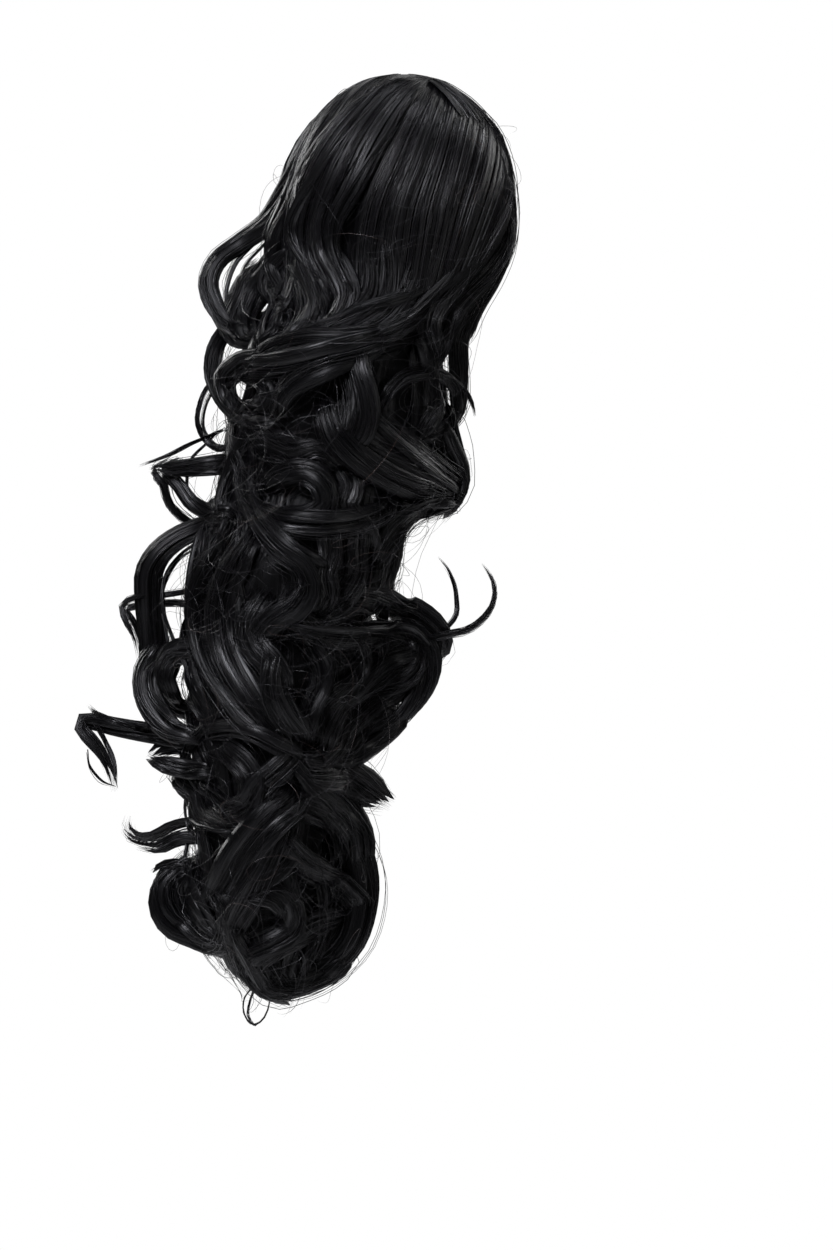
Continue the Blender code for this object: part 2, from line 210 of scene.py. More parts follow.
def softbox(name, place, width, height, power, colour):
    lamp = bpy.data.lights.new(name, "AREA")
    lamp.shape = "RECTANGLE"
    lamp.size = width
    lamp.size_y = height
    lamp.energy = power
    lamp.color = colour
    made = bpy.data.objects.new(name, lamp)
    bpy.context.scene.collection.objects.link(made)
    aim(made, stand(*place), MIDDLE)


for lamp_values in LAMPS:
    softbox(*lamp_values)

world = bpy.data.worlds.new("studio")
world.use_nodes = True
studio = world.node_tree.nodes
facing_away = studio.new("ShaderNodeVectorMath")
facing_away.operation = "DOT_PRODUCT"
facing_away.inputs[1].default_value = -NEAR_WAY
spread = studio.new("ShaderNodeMapRange")
spread.interpolation_type = "SMOOTHSTEP"
for key, value in WORLD_SPREAD.items():
    spread.inputs[key].default_value = value
way = studio.new("ShaderNodeTexCoord")
world.node_tree.links.new(way.outputs["Generated"], facing_away.inputs[0])
world.node_tree.links.new(facing_away.outputs["Value"], spread.inputs["Value"])
world.node_tree.links.new(spread.outputs["Result"], studio["Background"].inputs["Color"])
bpy.context.scene.world = world
bpy.context.scene.view_settings.view_transform = "Standard"

FLOOR_DROP = 0.62
FLOOR_SIZE = 2.6

bpy.ops.object.select_all(action="DESELECT")
bpy.ops.mesh.primitive_plane_add(size=FLOOR_SIZE, location=MIDDLE + Vector((0, 0, -FLOOR_DROP)))
floor = bpy.context.object
floor.name = "floor"
bpy.ops.object.transform_apply(location=True, rotation=True, scale=True)
print(len(LAMPS), "lamps; floor", FLOOR_DROP, "m below the middle")

# %% [markdown]
# Shader maths reads best as ordinary sums. One small class wraps a socket, so that an expression
# on values adds its own Math nodes, and one method makes any other node from its settings and
# inputs.

# %% A small shader language


class Value:
    """A shader socket that can be used in sums."""

    def __init__(self, shader, socket):
        self.shader = shader
        self.socket = socket

    def _maths(self, operation, *values):
        settings = {"operation": operation}
        return self.shader.node("ShaderNodeMath", settings, dict(enumerate(values)))

    def __add__(self, other):
        return self._maths("ADD", self, other)

    def __sub__(self, other):
        return self._maths("SUBTRACT", self, other)

    def __rsub__(self, other):
        return self._maths("SUBTRACT", other, self)

    def __mul__(self, other):
        return self._maths("MULTIPLY", self, other)

    __radd__ = __add__
    __rmul__ = __mul__


class Shader:
    """A material and its nodes, with its Principled shader ready to be fed."""

    def __init__(self, name):
        self.material = bpy.data.materials.new(name)
        self.material.use_nodes = True
        self.tree = self.material.node_tree
        self.surface = self.tree.nodes["Principled BSDF"]

    def node(self, kind, settings=None, inputs=None, output=0):
        made = self.tree.nodes.new(kind)
        for key, value in (settings or {}).items():
            if key == "stops":
                self._stops(made.color_ramp, value)
            else:
                setattr(made, key, value)
        for key, value in (inputs or {}).items():
            self.put(made.inputs[key], value)
        return Value(self, made.outputs[output])

    def put(self, socket, value):
        if isinstance(value, Value):
            self.tree.links.new(value.socket, socket)
        else:
            socket.default_value = value

    def feed(self, **inputs):
        """Feeds the Principled shader: base_color=..., roughness=... and so on."""
        for key, value in inputs.items():
            name = key.replace("_", " ").title().replace("Ior", "IOR")
            self.put(self.surface.inputs[name], value)

    def _stops(self, ramp, stops):
        while len(ramp.elements) > 1:
            ramp.elements.remove(ramp.elements[-1])
        ramp.elements[0].position, ramp.elements[0].color = stops[0][0], (*stops[0][1], 1)
        for place, colour in stops[1:]:
            ramp.elements.new(place).color = (*colour, 1)


print("shader language ready")

# %% [markdown]
# Black fibre is never one black: strands differ a little in depth and warmth, and each has a soft
# gloss along it. Every hair mesh here carries a UV map whose first number runs round a ribbon or
# names a strand, and whose second runs from root to tip. Noise that is fine in the first and long
# in the second gives streaks that follow each curl. Broad and fine streaks together thin out the
# coat, so the gloss breaks into threads. They are only so fine that a picture can still hold them,
# because finer ones blur into the look of clay.

# %% Hair finishes
FIBRE_DARK = (0.0007, 0.0007, 0.0008)
FIBRE_MIDDLE = (0.0018, 0.0017, 0.0020)
FIBRE_PALE = (0.0075, 0.0071, 0.0082)
FIBRE_WARM = (0.035, 0.019, 0.012)
BROAD_STREAKS = (14, 1.3)
FINE_STREAKS = (46, 2.0)
GLINTS = [(0.46, (0.04, 0.04, 0.04)), (0.54, (0.3, 0.3, 0.3)), (0.64, (1, 1, 1))]


def streaks(shader, uv, across, along):
    """Noise with so many cells across a streak width, and along a whole hair."""
    stretched = shader.node(
        "ShaderNodeMapping", {"vector_type": "POINT"}, {"Vector": uv, "Scale": (across, along, 1)}
    )
    return shader.node(
        "ShaderNodeTexNoise",
        {"noise_dimensions": "2D"},
        {"Vector": stretched, "Scale": 1.0, "Detail": 2.0, "Roughness": 0.6},
    )


def hair_finish(name, stops, roughness, relief, gloss):
    shader = Shader(name)
    uv = shader.node("ShaderNodeUVMap", {"uv_map": "flow"})
    tone = streaks(shader, uv, *BROAD_STREAKS)
    fine = streaks(shader, uv, *FINE_STREAKS)
    colour = shader.node("ShaderNodeValToRGB", {"stops": stops}, {0: tone})
    glint = shader.node("ShaderNodeValToRGB", {"stops": GLINTS}, {0: 0.5 * tone + 0.5 * fine})
    bump = shader.node(
        "ShaderNodeBump", None, {"Strength": relief, "Distance": 0.0008, "Height": fine}
    )
    shader.feed(base_color=colour, roughness=roughness + 0.22 * (fine - 0.5), normal=bump)
    shader.feed(specular_ior_level=0.06, coat_weight=gloss * glint, coat_roughness=0.26)
    return shader.material


DARK_STOPS = [(0.30, FIBRE_DARK), (0.52, FIBRE_MIDDLE), (0.74, FIBRE_PALE)]
# Painted shade: these darker stops make the ribbons, wisps and under-hair darker copies of the same
# black fibre, for the shade between strands.
PAINTED_SHADE_STOPS = [(0.34, FIBRE_DARK), (0.80, FIBRE_MIDDLE)]
# The warm stops paint brown into the loose hairs at random, for light passing through thin hair.
WARM_STOPS = [(0.30, FIBRE_MIDDLE), (0.60, FIBRE_PALE), (0.80, FIBRE_WARM)]

fine_hair = hair_finish("fine_hair", DARK_STOPS, 0.30, 0.3, 0.80)
# ribbon_hair and under_hair are the shaded copies of fine_hair: painted shade, with less gloss.
ribbon_hair = hair_finish("ribbon_hair", PAINTED_SHADE_STOPS, 0.34, 1.0, 0.20)
under_fibre = hair_finish("under_hair", PAINTED_SHADE_STOPS, 0.38, 1.0, 0.10)
loose_fibre = hair_finish("loose_hair", WARM_STOPS, 0.42, 0.2, 0.7)
print("finishes:", ", ".join(m.name for m in (fine_hair, ribbon_hair, under_fibre, loose_fibre)))

# %% [markdown]
# The clip is smooth moulded plastic, with a faint grain and a gloss that wear has dulled in
# places. The floor is matt paper. Both patterns read Object coordinates, so they stay on their
# pieces.

# %% Plastic and paper finishes


def plastic_finish():
    shader = Shader("clip_plastic")
    place = shader.node("ShaderNodeTexCoord", output=3)
    grain = shader.node(
        "ShaderNodeTexNoise", None, {"Vector": place, "Scale": 900.0, "Detail": 3.0}
    )
    wear = shader.node("ShaderNodeTexNoise", None, {"Vector": place, "Scale": 60.0, "Detail": 4.0})
    stops = [(0.35, (0.010, 0.010, 0.010)), (0.75, (0.022, 0.021, 0.021))]
    colour = shader.node("ShaderNodeValToRGB", {"stops": stops}, {0: wear})
    bump = shader.node(
        "ShaderNodeBump", None, {"Strength": 0.25, "Distance": 0.0002, "Height": grain}
    )
    shader.feed(base_color=colour, roughness=0.24 + 0.16 * wear, normal=bump)
    return shader.material


def floor_finish():
    shader = Shader("floor_paper")
    place = shader.node("ShaderNodeTexCoord", output=3)
    grain = shader.node("ShaderNodeTexNoise", None, {"Vector": place, "Scale": 3.0})
    stops = [(0.3, (0.90, 0.90, 0.90)), (0.7, (0.93, 0.93, 0.93))]
    shader.feed(
        base_color=shader.node("ShaderNodeValToRGB", {"stops": stops}, {0: grain}), roughness=0.9
    )
    return shader.material


floor.data.materials.append(floor_finish())
print("floor finish:", floor.data.materials[0].name)

# %% [markdown]
# A lock of hair is a bundle of long thin tubes. Hundreds of thousands of faces are needed, so they
# are joined meshes from arrays: one function closes any number of swept tubes at once, with three
# sides for a strand and more for a ribbon, and writes the UV map that the finish reads. Ribbons
# can have a darker finish of their own, painted shade that makes them the shade between the
# glossy strands.

# %% Tubes from arrays
random = np.random.default_rng(11)
STREAK_WIDTH = 12 * MM


def unit(vectors):
    return vectors / np.maximum(np.linalg.norm(vectors, axis=-1, keepdims=True), 1e-9)


def frames_along(paths, facing):
    """The side and the top of each path, kept square to it."""
    along = unit(np.gradient(paths, axis=-2))
    side = unit(np.cross(along, facing))
    return side, np.cross(side, along)


class Tubes:
    """Gathers swept tubes and makes them one closed mesh."""

    def __init__(self):
        self.points = []
        self.faces = []
        self.finish_slots = []
        self.places = []
        self.count = 0

    def add(self, paths, facing, half_width, half_depth, sides, ridges=0.0):
        """Paths are (tubes, rings, 3); half sizes fit (tubes, rings); ridges roughen the round."""
        tubes, rings, _ = paths.shape
        side, top = frames_along(paths, facing)
        angle = 2 * math.pi * np.arange(sides) / sides
        half_width = half_width * np.ones((tubes, rings))
        half_depth = half_depth * np.ones((tubes, rings))
        rough = 1 + ridges * random.uniform(-1, 1, (tubes, 1, sides))
        wide = (half_width[..., None] * np.cos(angle))[..., None]
        deep = (half_depth[..., None] * np.sin(angle) * rough)[..., None]
        ring_points = paths[:, :, None] + side[:, :, None] * wide + top[:, :, None] * deep
        index = self.count + np.arange(tubes * rings * sides).reshape(tubes, rings, sides)
        nxt = np.roll(index, -1, axis=2)
        walls = np.stack([index[:, :-1], index[:, 1:], nxt[:, 1:], nxt[:, :-1]], axis=-1)
        self.points.append(ring_points.reshape(-1, 3))
        ends = (index[:, 0].reshape(-1, sides), index[:, -1, ::-1].reshape(-1, sides))
        for faces in (walls.reshape(-1, 4), *ends):
            self.faces.append(faces)
            # Ribbons and wisps take the second finish, which is painted shade; strands take the
            # glossy one.
            self.finish_slots.append(np.full(len(faces), int(sides > 3)))
        name = random.random((tubes, 1, 1)) * 7
        breadth = half_width.max(axis=1)[:, None, None] / STREAK_WIDTH
        around = np.abs(np.arange(sides) / sides - 0.5) * breadth * (sides > 3)
        down = np.linspace(0, 1, rings)[None, :, None] + name * 0.37
        uv = np.stack(np.broadcast_arrays(name + around, down), axis=-1)
        self.places.append(uv.reshape(-1, 2))
        self.count += tubes * rings * sides

    def triangles(self):
        return sum(len(face) * (face.shape[1] - 2) for face in self.faces)

    def mesh(self, name, finish, painted_shade_finish=None):
        points = np.concatenate(self.points)
        corners = np.concatenate([face.reshape(-1) for face in self.faces])
        totals = np.concatenate([np.full(len(face), face.shape[1]) for face in self.faces])
        made = bpy.data.meshes.new(name)
        made.vertices.add(len(points))
        made.vertices.foreach_set("co", points.astype(np.float32).reshape(-1))
        made.loops.add(len(corners))
        made.loops.foreach_set("vertex_index", corners.astype(np.int32))
        made.polygons.add(len(totals))
        made.polygons.foreach_set("loop_start", np.cumsum(totals) - totals)
        made.polygons.foreach_set("use_smooth", np.ones(len(totals), bool))
        made.polygons.foreach_set("material_index", np.concatenate(self.finish_slots).astype(np.int32))
        layer = made.uv_layers.new(name="flow")
        uv = np.concatenate(self.places)[corners]
        layer.data.foreach_set("uv", uv.astype(np.float32).reshape(-1))
        made.update(calc_edges=True)
        made.validate()
        made.materials.append(finish)
        # The second finish is painted shade for the ribbons.
        if painted_shade_finish:
            made.materials.append(painted_shade_finish)
        piece = bpy.data.objects.new(name, made)
        bpy.context.scene.collection.objects.link(piece)
        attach(piece, "root")
        print(name, self.triangles(), "triangles")
        return piece


print("one streak width:", STREAK_WIDTH / MM, "mm")

# %% [markdown]
# Each lock follows a few bends on a smooth line, and both of its ends sink into the mass, unless
# an end hangs free. Its section turns a little on the way, so that a curl shows its edge and then
# its face.

# %% The line of a lock
SINK_RUN = 10
SINK_DEPTH = 14
TIP = 0.45


def curve_of(points):
    """Knots by distance for a smooth curve through points."""
    runs = np.linalg.norm(np.diff(points, axis=0), axis=1)
    return np.concatenate([[0], np.cumsum(runs)])


def with_sunk_ends(bends, ends):
    """The bends, carried on into the mass at the ends that don't hang free."""
    bends = [np.array(bend, float) for bend in bends]

    def beyond(end, before):
        way = (end - before) * [1, 1, 0]
        place = end + way / max(np.linalg.norm(way), 1) * SINK_RUN + [0, 0, -SINK_DEPTH]
        centre = section_at(end[1])[0]
        limit = 0.92 * abs(end[0] - centre)
        place[0] = centre + np.clip(place[0] - centre, -limit, limit)
        return place

    if "r" in ends:
        bends.insert(0, beyond(bends[0], bends[1]))
    if "t" in ends:
        bends.append(beyond(bends[-1], bends[-2]))
    return np.array(bends)


def fullness(shares):
    """How full a lock is along its length, with narrower ends."""
    return TIP + (1 - TIP) * np.sqrt(np.sin(math.pi * np.clip(shares, 0.02, 0.98)))


class Lock:
    """A bundle that follows a smooth line, with its width across the face it shows."""

    def __init__(self, points, width, depth, facing=None, twist=0.6):
        self.points = points
        self.knots = curve_of(points)
        self.width = width * MM
        self.depth = depth * MM
        self.twist = twist
        self.start = random.random() * 2 * math.pi
        self.facing = facing

    def sample(self, shares, across, through):
        """Points at shares of the length, at offsets from -1 to 1 in the bundle's section."""
        at = shares * self.knots[-1]
        middle = eased(self.knots, self.points, at)
        step = self.knots[-1] * 0.004
        ahead = eased(self.knots, self.points, np.clip(at + step, 0, self.knots[-1]))
        behind = eased(self.knots, self.points, np.clip(at - step, 0, self.knots[-1]))
        along = unit(ahead - behind)
        facing = self.facing_at(middle)
        side = unit(np.cross(along, facing))
        top = np.cross(side, along)
        turn = self.twist * np.sin(self.start + 2.2 * shares * math.pi)
        wide = across * np.cos(turn) - through * np.sin(turn) * 0.6
        deep = across * np.sin(turn) * 0.6 + through * np.cos(turn)
        full = fullness(shares)
        wide = (wide * full * self.width / 2)[..., None]
        deep = (deep * full * self.depth / 2)[..., None]
        return middle + side * wide + top * deep

    def facing_at(self, middle):
        if self.facing is not None:
            return np.broadcast_to(self.facing, middle.shape)
        down = -middle[..., 2] / MM
        centre = shown(section_at(down)[0], 0 * down, down)
        return unit(unit((middle - centre) * [1, 1, 0]) + 0.02 * TO_VIEWER)


print("a lock's end sinks", SINK_DEPTH, "mm into the mass")

# %% [markdown]
# A lock could be one rope, a card with painted hairs, or only strands, which leave holes between
# them. Here one to three ribbons, darkened with painted shade, fill it, and glossy strands lie over
# them. Strands differ in length, so a free tip frays instead of ending like a cut rope, and a few
# stray from their lock.

# %% Ribbons and strands of a lock
STRAND_RADIUS = 0.17 * MM
RING_STEP = 4.6 * MM
WISP_SIDES = 6
RIBBON_SIDES = 8
RIBBON_HALF_WIDTHS = (0.38, 0.38, 0.30)
RIBBON_HALF_DEPTH = 0.17


def add_ribbons(tubes, lock, rings):
    """Adds a lock's flat ribbons and returns how deep each of them lies."""
    count = 1 + (lock.width > 5 * MM) + (lock.width > 11 * MM)
    shares = np.linspace(0, 1, rings)
    places = np.linspace(-0.5, 0.5, count) if count > 1 else np.zeros(1)
    layers = random.permutation(np.linspace(-0.35, 0.35, count)) if count > 1 else np.zeros(1)
    phase = random.random((count, 1)) * 2 * math.pi
    wander = 0.10 * np.sin(phase + shares * 5)
    starts = random.uniform(0, 0.04, (count, 1))
    stops = random.uniform(0.93, 1.0, (count, 1))
    spans = starts + (stops - starts) * shares
    paths = lock.sample(spans, places[:, None] + wander, layers[:, None] + wander)
    full = fullness(shares) * np.minimum(1, np.minimum(shares * 4, (1 - shares) * 6) + 0.04)
    half_width = lock.width * RIBBON_HALF_WIDTHS[count - 1] * full
    half_depth = lock.depth * RIBBON_HALF_DEPTH * full
    tubes.add(paths, lock.facing_at(paths), half_width, half_depth, RIBBON_SIDES, 0.35)
    return layers


def add_strands(tubes, lock, rings, layers, strands, stray, radius):
    """Scatters strands over a lock's ribbons, a share of them astray."""
    owner = random.integers(0, len(layers), strands)
    shares = np.linspace(0, 1, rings)
    across = random.uniform(-0.98, 0.98, strands)
    over = np.where(random.random(strands) < 0.82, 1, -1)
    through = layers[owner] + over * random.uniform(0.26, 0.52, strands)
    loose = random.random(strands) < stray
    reach = np.where(loose, random.uniform(1.1, 1.8, strands), 1)
    wave = np.where(loose, 0.26, 0.10)[:, None]
    phase = random.random((strands, 1)) * 2 * math.pi
    bend = wave * np.sin(phase + shares * random.uniform(2, 6, (strands, 1)))
    starts = random.uniform(0, 0.12, (strands, 1))
    stops = random.uniform(0.88, 1.03, (strands, 1))
    spans = np.minimum(starts + (stops - starts) * shares, 1)
    wide = (across * reach)[:, None] + bend
    deep = (through * reach)[:, None] + bend * 0.8
    paths = lock.sample(spans, wide, deep)
    taper = np.minimum(1, (1.02 - shares) * 5) * random.uniform(0.6, 1.15, (strands, 1))
    tubes.add(paths, lock.facing_at(paths), radius * taper, radius * taper, 3)


def grow(tubes, lock, strands, stray=0.16, radius=STRAND_RADIUS, step=RING_STEP):
    """Adds a lock's ribbons and strands to a set of tubes."""
    rings = int(np.clip(lock.knots[-1] / step, 9, 34))
    layers = add_ribbons(tubes, lock, rings)
    add_strands(tubes, lock, max(10, int(rings * 0.85)), layers, strands, stray, radius)


print("strand radius:", STRAND_RADIUS / MM, "mm")

# %% [markdown]
# Under the crown's strands lies the hair that carries them. Its form is a copy of the two crown
# solids, drawn in by a hair's breadth, so the room for the clip stays open, and its faces are cut
# into triangles for the streaks that run round it. A copy of a solid is loose triangles, so it is
# merged first.

# %% Crown under-hair
UNDER_INSET = 1.4 * MM
FLOW_TURN = 6
FLOW_FALL = 60


def finish_under(made, node, flow_at):
    """Lays the flow map by a rule on each point in mm, and puts the mesh in a solid's place."""
    for layer in list(made.data.uv_layers):
        made.data.uv_layers.remove(layer)
    flow = made.data.uv_layers.new(name="flow")
    for loop in made.data.loops:
        flow.data[loop.index].uv = flow_at(*(made.data.vertices[loop.vertex_index].co / MM))
    made.data.materials.clear()
    # The under-hair's darker finish is painted shade, for hair that lies in shadow under the
    # strands.
    made.data.materials.append(under_fibre)
    made.data.shade_smooth()
    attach(made, "root")
    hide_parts(node)
    print(made.name, len(made.data.polygons), "faces")


def crown_flow(x, y, z):
    return abs(math.atan2(x, y + 23)) * FLOW_TURN, z / FLOW_FALL


def under_hair(name, node):
    bpy.ops.object.select_all(action="DESELECT")
    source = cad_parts[node]
    made = source.copy()
    made.data = source.data.copy()
    made.name = name
    for key in list(made.keys()):
        if key.startswith("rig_"):
            del made[key]
    bpy.context.scene.collection.objects.link(made)
    made.select_set(True)
    bpy.context.view_layer.objects.active = made
    bpy.ops.object.mode_set(mode="EDIT")
    bpy.ops.mesh.select_all(action="SELECT")
    bpy.ops.mesh.remove_doubles(threshold=0.00002)
    bpy.ops.mesh.vert_connect_nonplanar()
    bpy.ops.mesh.quads_convert_to_tris()
    bpy.ops.object.mode_set(mode="OBJECT")
    shrink = made.modifiers.new("inset", "DISPLACE")
    shrink.strength = -UNDER_INSET
    shrink.mid_level = 0
    bpy.ops.object.modifier_apply(modifier=shrink.name)
    finish_under(made, node, crown_flow)


under_hair("left_crown_under", "left_crown_weft")
under_hair("right_crown_under", "right_crown_weft")

# %% [markdown]
# The crown's hair is folded over the clip along a ridge and combed down from it. A comb of guide
# lines carries it. Those on the near side are listed one by one, from the parting out to each edge.
# Those on the far side and over the top follow one rule each, because the hair is plain there.

# %% Guides for the crown's hair
CROWN_RINGS = 15
RIGHT_LIFT = 0.4
LEFT_LIFT = 3.2

RIGHT_GUIDES = (
    # each guide's bends as (across, down), from the parting to the right edge
    ((-8, -46), (-17, -28), (-29, -4), (-38, 19), (-41, 41), (-41, 63), (-44, 78)),
    ((-2, -45), (-8, -28), (-18, -2), (-26, 19), (-30, 41), (-31, 64), (-37, 82)),
    ((4, -44), (1, -27), (-6, -2), (-13, 19), (-16, 41), (-20, 65), (-30, 84)),
    ((12, -39), (10, -23), (5, 0), (0, 19), (-4, 41), (-10, 64), (-22, 82)),
    ((20, -33), (22, -17), (18, 3), (12, 23), (6, 43), (-1, 62), (-12, 78)),
    ((27, -25), (31, -7), (28, 12), (22, 30), (14, 48), (5, 63), (-4, 76)),
    ((31, -20), (36, 0), (37, 17), (34, 34), (28, 50), (19, 64), (12, 78)),
)
LEFT_GUIDES = (
    # from the parting to the left edge
    ((-7, -47), (-13, -36), (-26, -10), (-36, 11), (-45, 26), (-47, 38), (-43, 50), (-38, 64)),
    ((-9, -47), (-18, -38), (-35, -11), (-44, 11), (-51, 25), (-51, 37), (-47, 50), (-42, 66)),
    ((-12, -47), (-26, -38), (-45, -11), (-54, 9), (-59, 25), (-59, 38), (-53, 52), (-48, 70)),
    ((-16, -46), (-34, -35), (-54, -11), (-63, 9), (-67, 24), (-66, 38), (-61, 53), (-56, 72)),
    ((-20, -45), (-42, -31), (-61, -8), (-70, 10), (-73, 25), (-72, 40), (-68, 56), (-64, 76)),
)


def guide_through(points, start=0.0):
    """A smooth guide with evenly spaced rings, from a share of its length to its end."""
    knots = curve_of(points)
    return eased(knots, points, np.linspace(start * knots[-1], knots[-1], CROWN_RINGS))


def guide_on_mass(bends, lift):
    bends = np.array(bends, float)
    return guide_through(wrapped(bearing_of(bends[:, 0], bends[:, 1]), bends[:, 1], lift))


def far_guide(bearing, top, bottom, lift):
    lifts = lift * np.minimum(1, np.linspace(-0.2, 4, 8))
    bearings = np.full(8, math.radians(bearing))
    return guide_through(wrapped(bearings, np.linspace(top, bottom, 8), lifts))


def cap_guide(bearing):
    """A guide from the top of the crown to the clip's level, at a bearing."""
    downs = np.linspace(-48.8, -22, 8)
    points = wrapped(np.full(8, math.radians(bearing)), downs, np.linspace(1.2, 0.6, 8))
    top = shown(np.array([-18.0]), np.array([0.0]), np.array([-49.9]))
    return guide_through(np.concatenate([top, points]), 0.06)


RIGHT_FAR_BEARINGS = (95, 105, 116, 140, 158, 176)
LEFT_FAR_BEARINGS = (-56, -70, -86, -104, -122, -142, -162, -184)
right_near = [guide_on_mass(bends, RIGHT_LIFT) for bends in RIGHT_GUIDES]
right_far = [far_guide(b, -44 + k * 3, 84, 0.4) for k, b in enumerate(RIGHT_FAR_BEARINGS)]
left_near = [guide_on_mass(bends, LEFT_LIFT) for bends in LEFT_GUIDES]
left_far = [far_guide(b, -46, 92, 2.9) for b in LEFT_FAR_BEARINGS]
cap = [cap_guide(b) for b in range(40, 351, 20)]
print("guides:", sum(len(guides) for guides in (right_near, right_far, left_near, left_far, cap)))

# %% [markdown]
# Each strand lies somewhere between two guides. Strands at even steps look like the teeth of a
# comb, so they are drawn towards chance places, as real hair clings in uneven wisps, and each
# sways a little across its neighbours. The side that is worn is a round hollow. Where a strand
# would enter it, it lies along its surface, and where it would cross the clip's mouth, it stops.

# %% Combing the crown
HOLLOW_CENTRE = np.array([0, 76.5, -52]) * MM
HOLLOW_HALF = np.array([76, 101, 81]) * MM
ROOM_HALF_WIDTH = 24 * MM
ROOM_BACK = -44 * MM
ROOM_TOP = 24 * MM
GATHER_SEED = 5
GATHERS_PER_GAP = 5


def gathered(places, most):
    """Places from 0 to most, drawn towards chance ones."""
    chance = np.random.default_rng(GATHER_SEED)
    centres = chance.random(GATHERS_PER_GAP * most) * most * 0.999
    nearest = centres[np.abs(places[:, None] - centres).argmin(axis=1)]
    return places + (nearest - places) * chance.uniform(0, 0.6, len(places))


def shortened(paths, shares):
    """Each path cut to its share of its length, with as many rings as before."""
    rings = np.arange(paths.shape[1], dtype=float)
    return np.array([eased(rings, path, rings * share) for path, share in zip(paths, shares)])


def outward_of(points):
    """The way out of the mass at each point, which turns up over the crown."""
    down = -points[..., 2] / MM
    centre = shown(section_at(down)[0], 0 * down, down)
    level = unit((points - centre) * [1, 1, 0])
    crown = np.clip(-down / 49, 0, 1) ** 2
    return unit(level + crown[..., None] * [0, 0, 1.6])


def comb(guides, count, spread):
    """Strand paths between neighbouring guides, which sway by up to spread mm."""
    guides = np.array(guides)
    where = gathered(random.random(count) * (len(guides) - 1.001), len(guides) - 1)
    low = where.astype(int)
    share = (where - low)[:, None, None]
    paths = guides[low] * (1 - share) + guides[low + 1] * share
    rings = np.linspace(0, 1, CROWN_RINGS)
    phase = random.random((count, 1)) * 2 * math.pi
    sway = np.sin(phase + rings * random.uniform(1.5, 5, (count, 1))) * spread * MM
    side, top = frames_along(paths, outward_of(paths))
    lift = random.uniform(0, 1.6, (count, 1)) * MM
    sway = sway * random.uniform(0.3, 1, (count, 1))
    paths = paths + side * sway[..., None] + top * lift[..., None]
    return shortened(paths, random.uniform(0.84, 1, count))


def out_of_hollow(points, gap):
    """Points inside the worn hollow, moved out to its surface and a gap beyond it."""
    half = HOLLOW_HALF + gap
    inside = (points - HOLLOW_CENTRE) / half
    depth = np.linalg.norm(inside, axis=-1, keepdims=True)
    return np.where(depth < 1, HOLLOW_CENTRE + inside / np.maximum(depth, 0.05) * half, points)


def clear_of_hollow(paths):
    """Keeps strands out of the worn hollow, and ends them at the clip's mouth."""
    kept = []
    for path in out_of_hollow(paths, 0):
        x, y, z = path.T
        barred = (np.abs(x) < ROOM_HALF_WIDTH) & (y > ROOM_BACK) & (z < ROOM_TOP)
        stop = int(np.argmax(barred)) if barred.any() else len(path)
        if stop > 5:
            knots = np.arange(stop, dtype=float)
            kept.append(eased(knots, path[:stop], np.linspace(0, stop - 1, len(path))))
    return np.array(kept)


print("room kept free for the clip:", 2 * ROOM_HALF_WIDTH / MM, "mm wide")

# %% [markdown]
# Five combs cover the crown: the near and far hair on each side of the parting, and a cap over the
# top, which would be bald where the others start. In each, glossy strands lie among a few flat
# wisps in the darker finish of painted shade, which close the spaces between them.

# %% Crown strands
CROWN_PIECES = (
    # piece, guides, strands, spread in mm, wisps
    ("right_crown_hair", right_near, 680, 1.1, 96),
    ("right_far_crown_hair", right_far, 300, 1.3, 56),
    ("left_crown_hair", left_near, 460, 1.0, 64),
    ("left_far_crown_hair", left_far, 430, 1.8, 96),
    ("crown_cap_hair", cap, 210, 0.8, 56),
)


def crown_strands(name, guides, count, spread, wisps):
    tubes = Tubes()
    paths = clear_of_hollow(comb(guides, count, spread))
    rings = np.linspace(0, 1, CROWN_RINGS)
    radius = STRAND_RADIUS * random.uniform(0.75, 1.3, (len(paths), 1))
    radius = radius * np.minimum(1, (1.03 - rings) * 7)
    tubes.add(paths, outward_of(paths), radius, radius, 3)
    flat = clear_of_hollow(comb(guides, wisps, spread * 0.5))
    half = np.sin(np.clip(rings, 0.04, 0.98) * math.pi) ** 0.35
    tubes.add(flat, outward_of(flat), 1.8 * MM * half, 0.30 * MM * half, WISP_SIDES, 0.3)
    return tubes.mesh(name, fine_hair, ribbon_hair)


crown_pieces = {row[0]: crown_strands(*row) for row in CROWN_PIECES}

# %% [markdown]
# The locks that show are each laid one by one, in the same places as in the solids, with a few
# finer ones that only the strands need. The last word of a row says which ends sink into the mass:
# r for the root, t for the tip, and neither where a tip hangs free.

# %% A piece of locks laid one by one
STRANDS_PER_WIDTH = 3.3
THIN_STEP = 0.65
LEAST_WANDER = 1.5
SIDE_WANDER = 9


def named_locks(piece, table, wander=LEAST_WANDER):
    """One mesh of locks from a table, whose lines wander so many mm out of the view's plane."""
    tubes = Tubes()
    for _, width, depth, ends, bends in table:
        across, down, lift = with_sunk_ends(bends, ends).T
        shares = np.linspace(0, 1, len(down))
        wave = np.sin(random.uniform(0, 2 * math.pi) + 3 * shares) * np.minimum(1, 3 * shares)
        away = wander * MM * wave
        points = draped(across, down, lift) + away[:, None] * TO_VIEWER
        facing = unit(TO_VIEWER + 0.3 * random.normal(0, 1, 3))
        lock = Lock(points, width, depth, facing)
        step = RING_STEP * (THIN_STEP if width < 4 else 1)
        grow(tubes, lock, round(4 + width * STRANDS_PER_WIDTH), step=step)
    return tubes.mesh(piece, fine_hair, ribbon_hair)


print("a lock 10 mm wide has", round(4 + 10 * STRANDS_PER_WIDTH), "strands")

# %% [markdown]
# The first set edges the crown: the sweeps that part from it on the left, the free loop beside
# them, the ridge over the clip, and the curls that turn under at the smooth hair's hem.

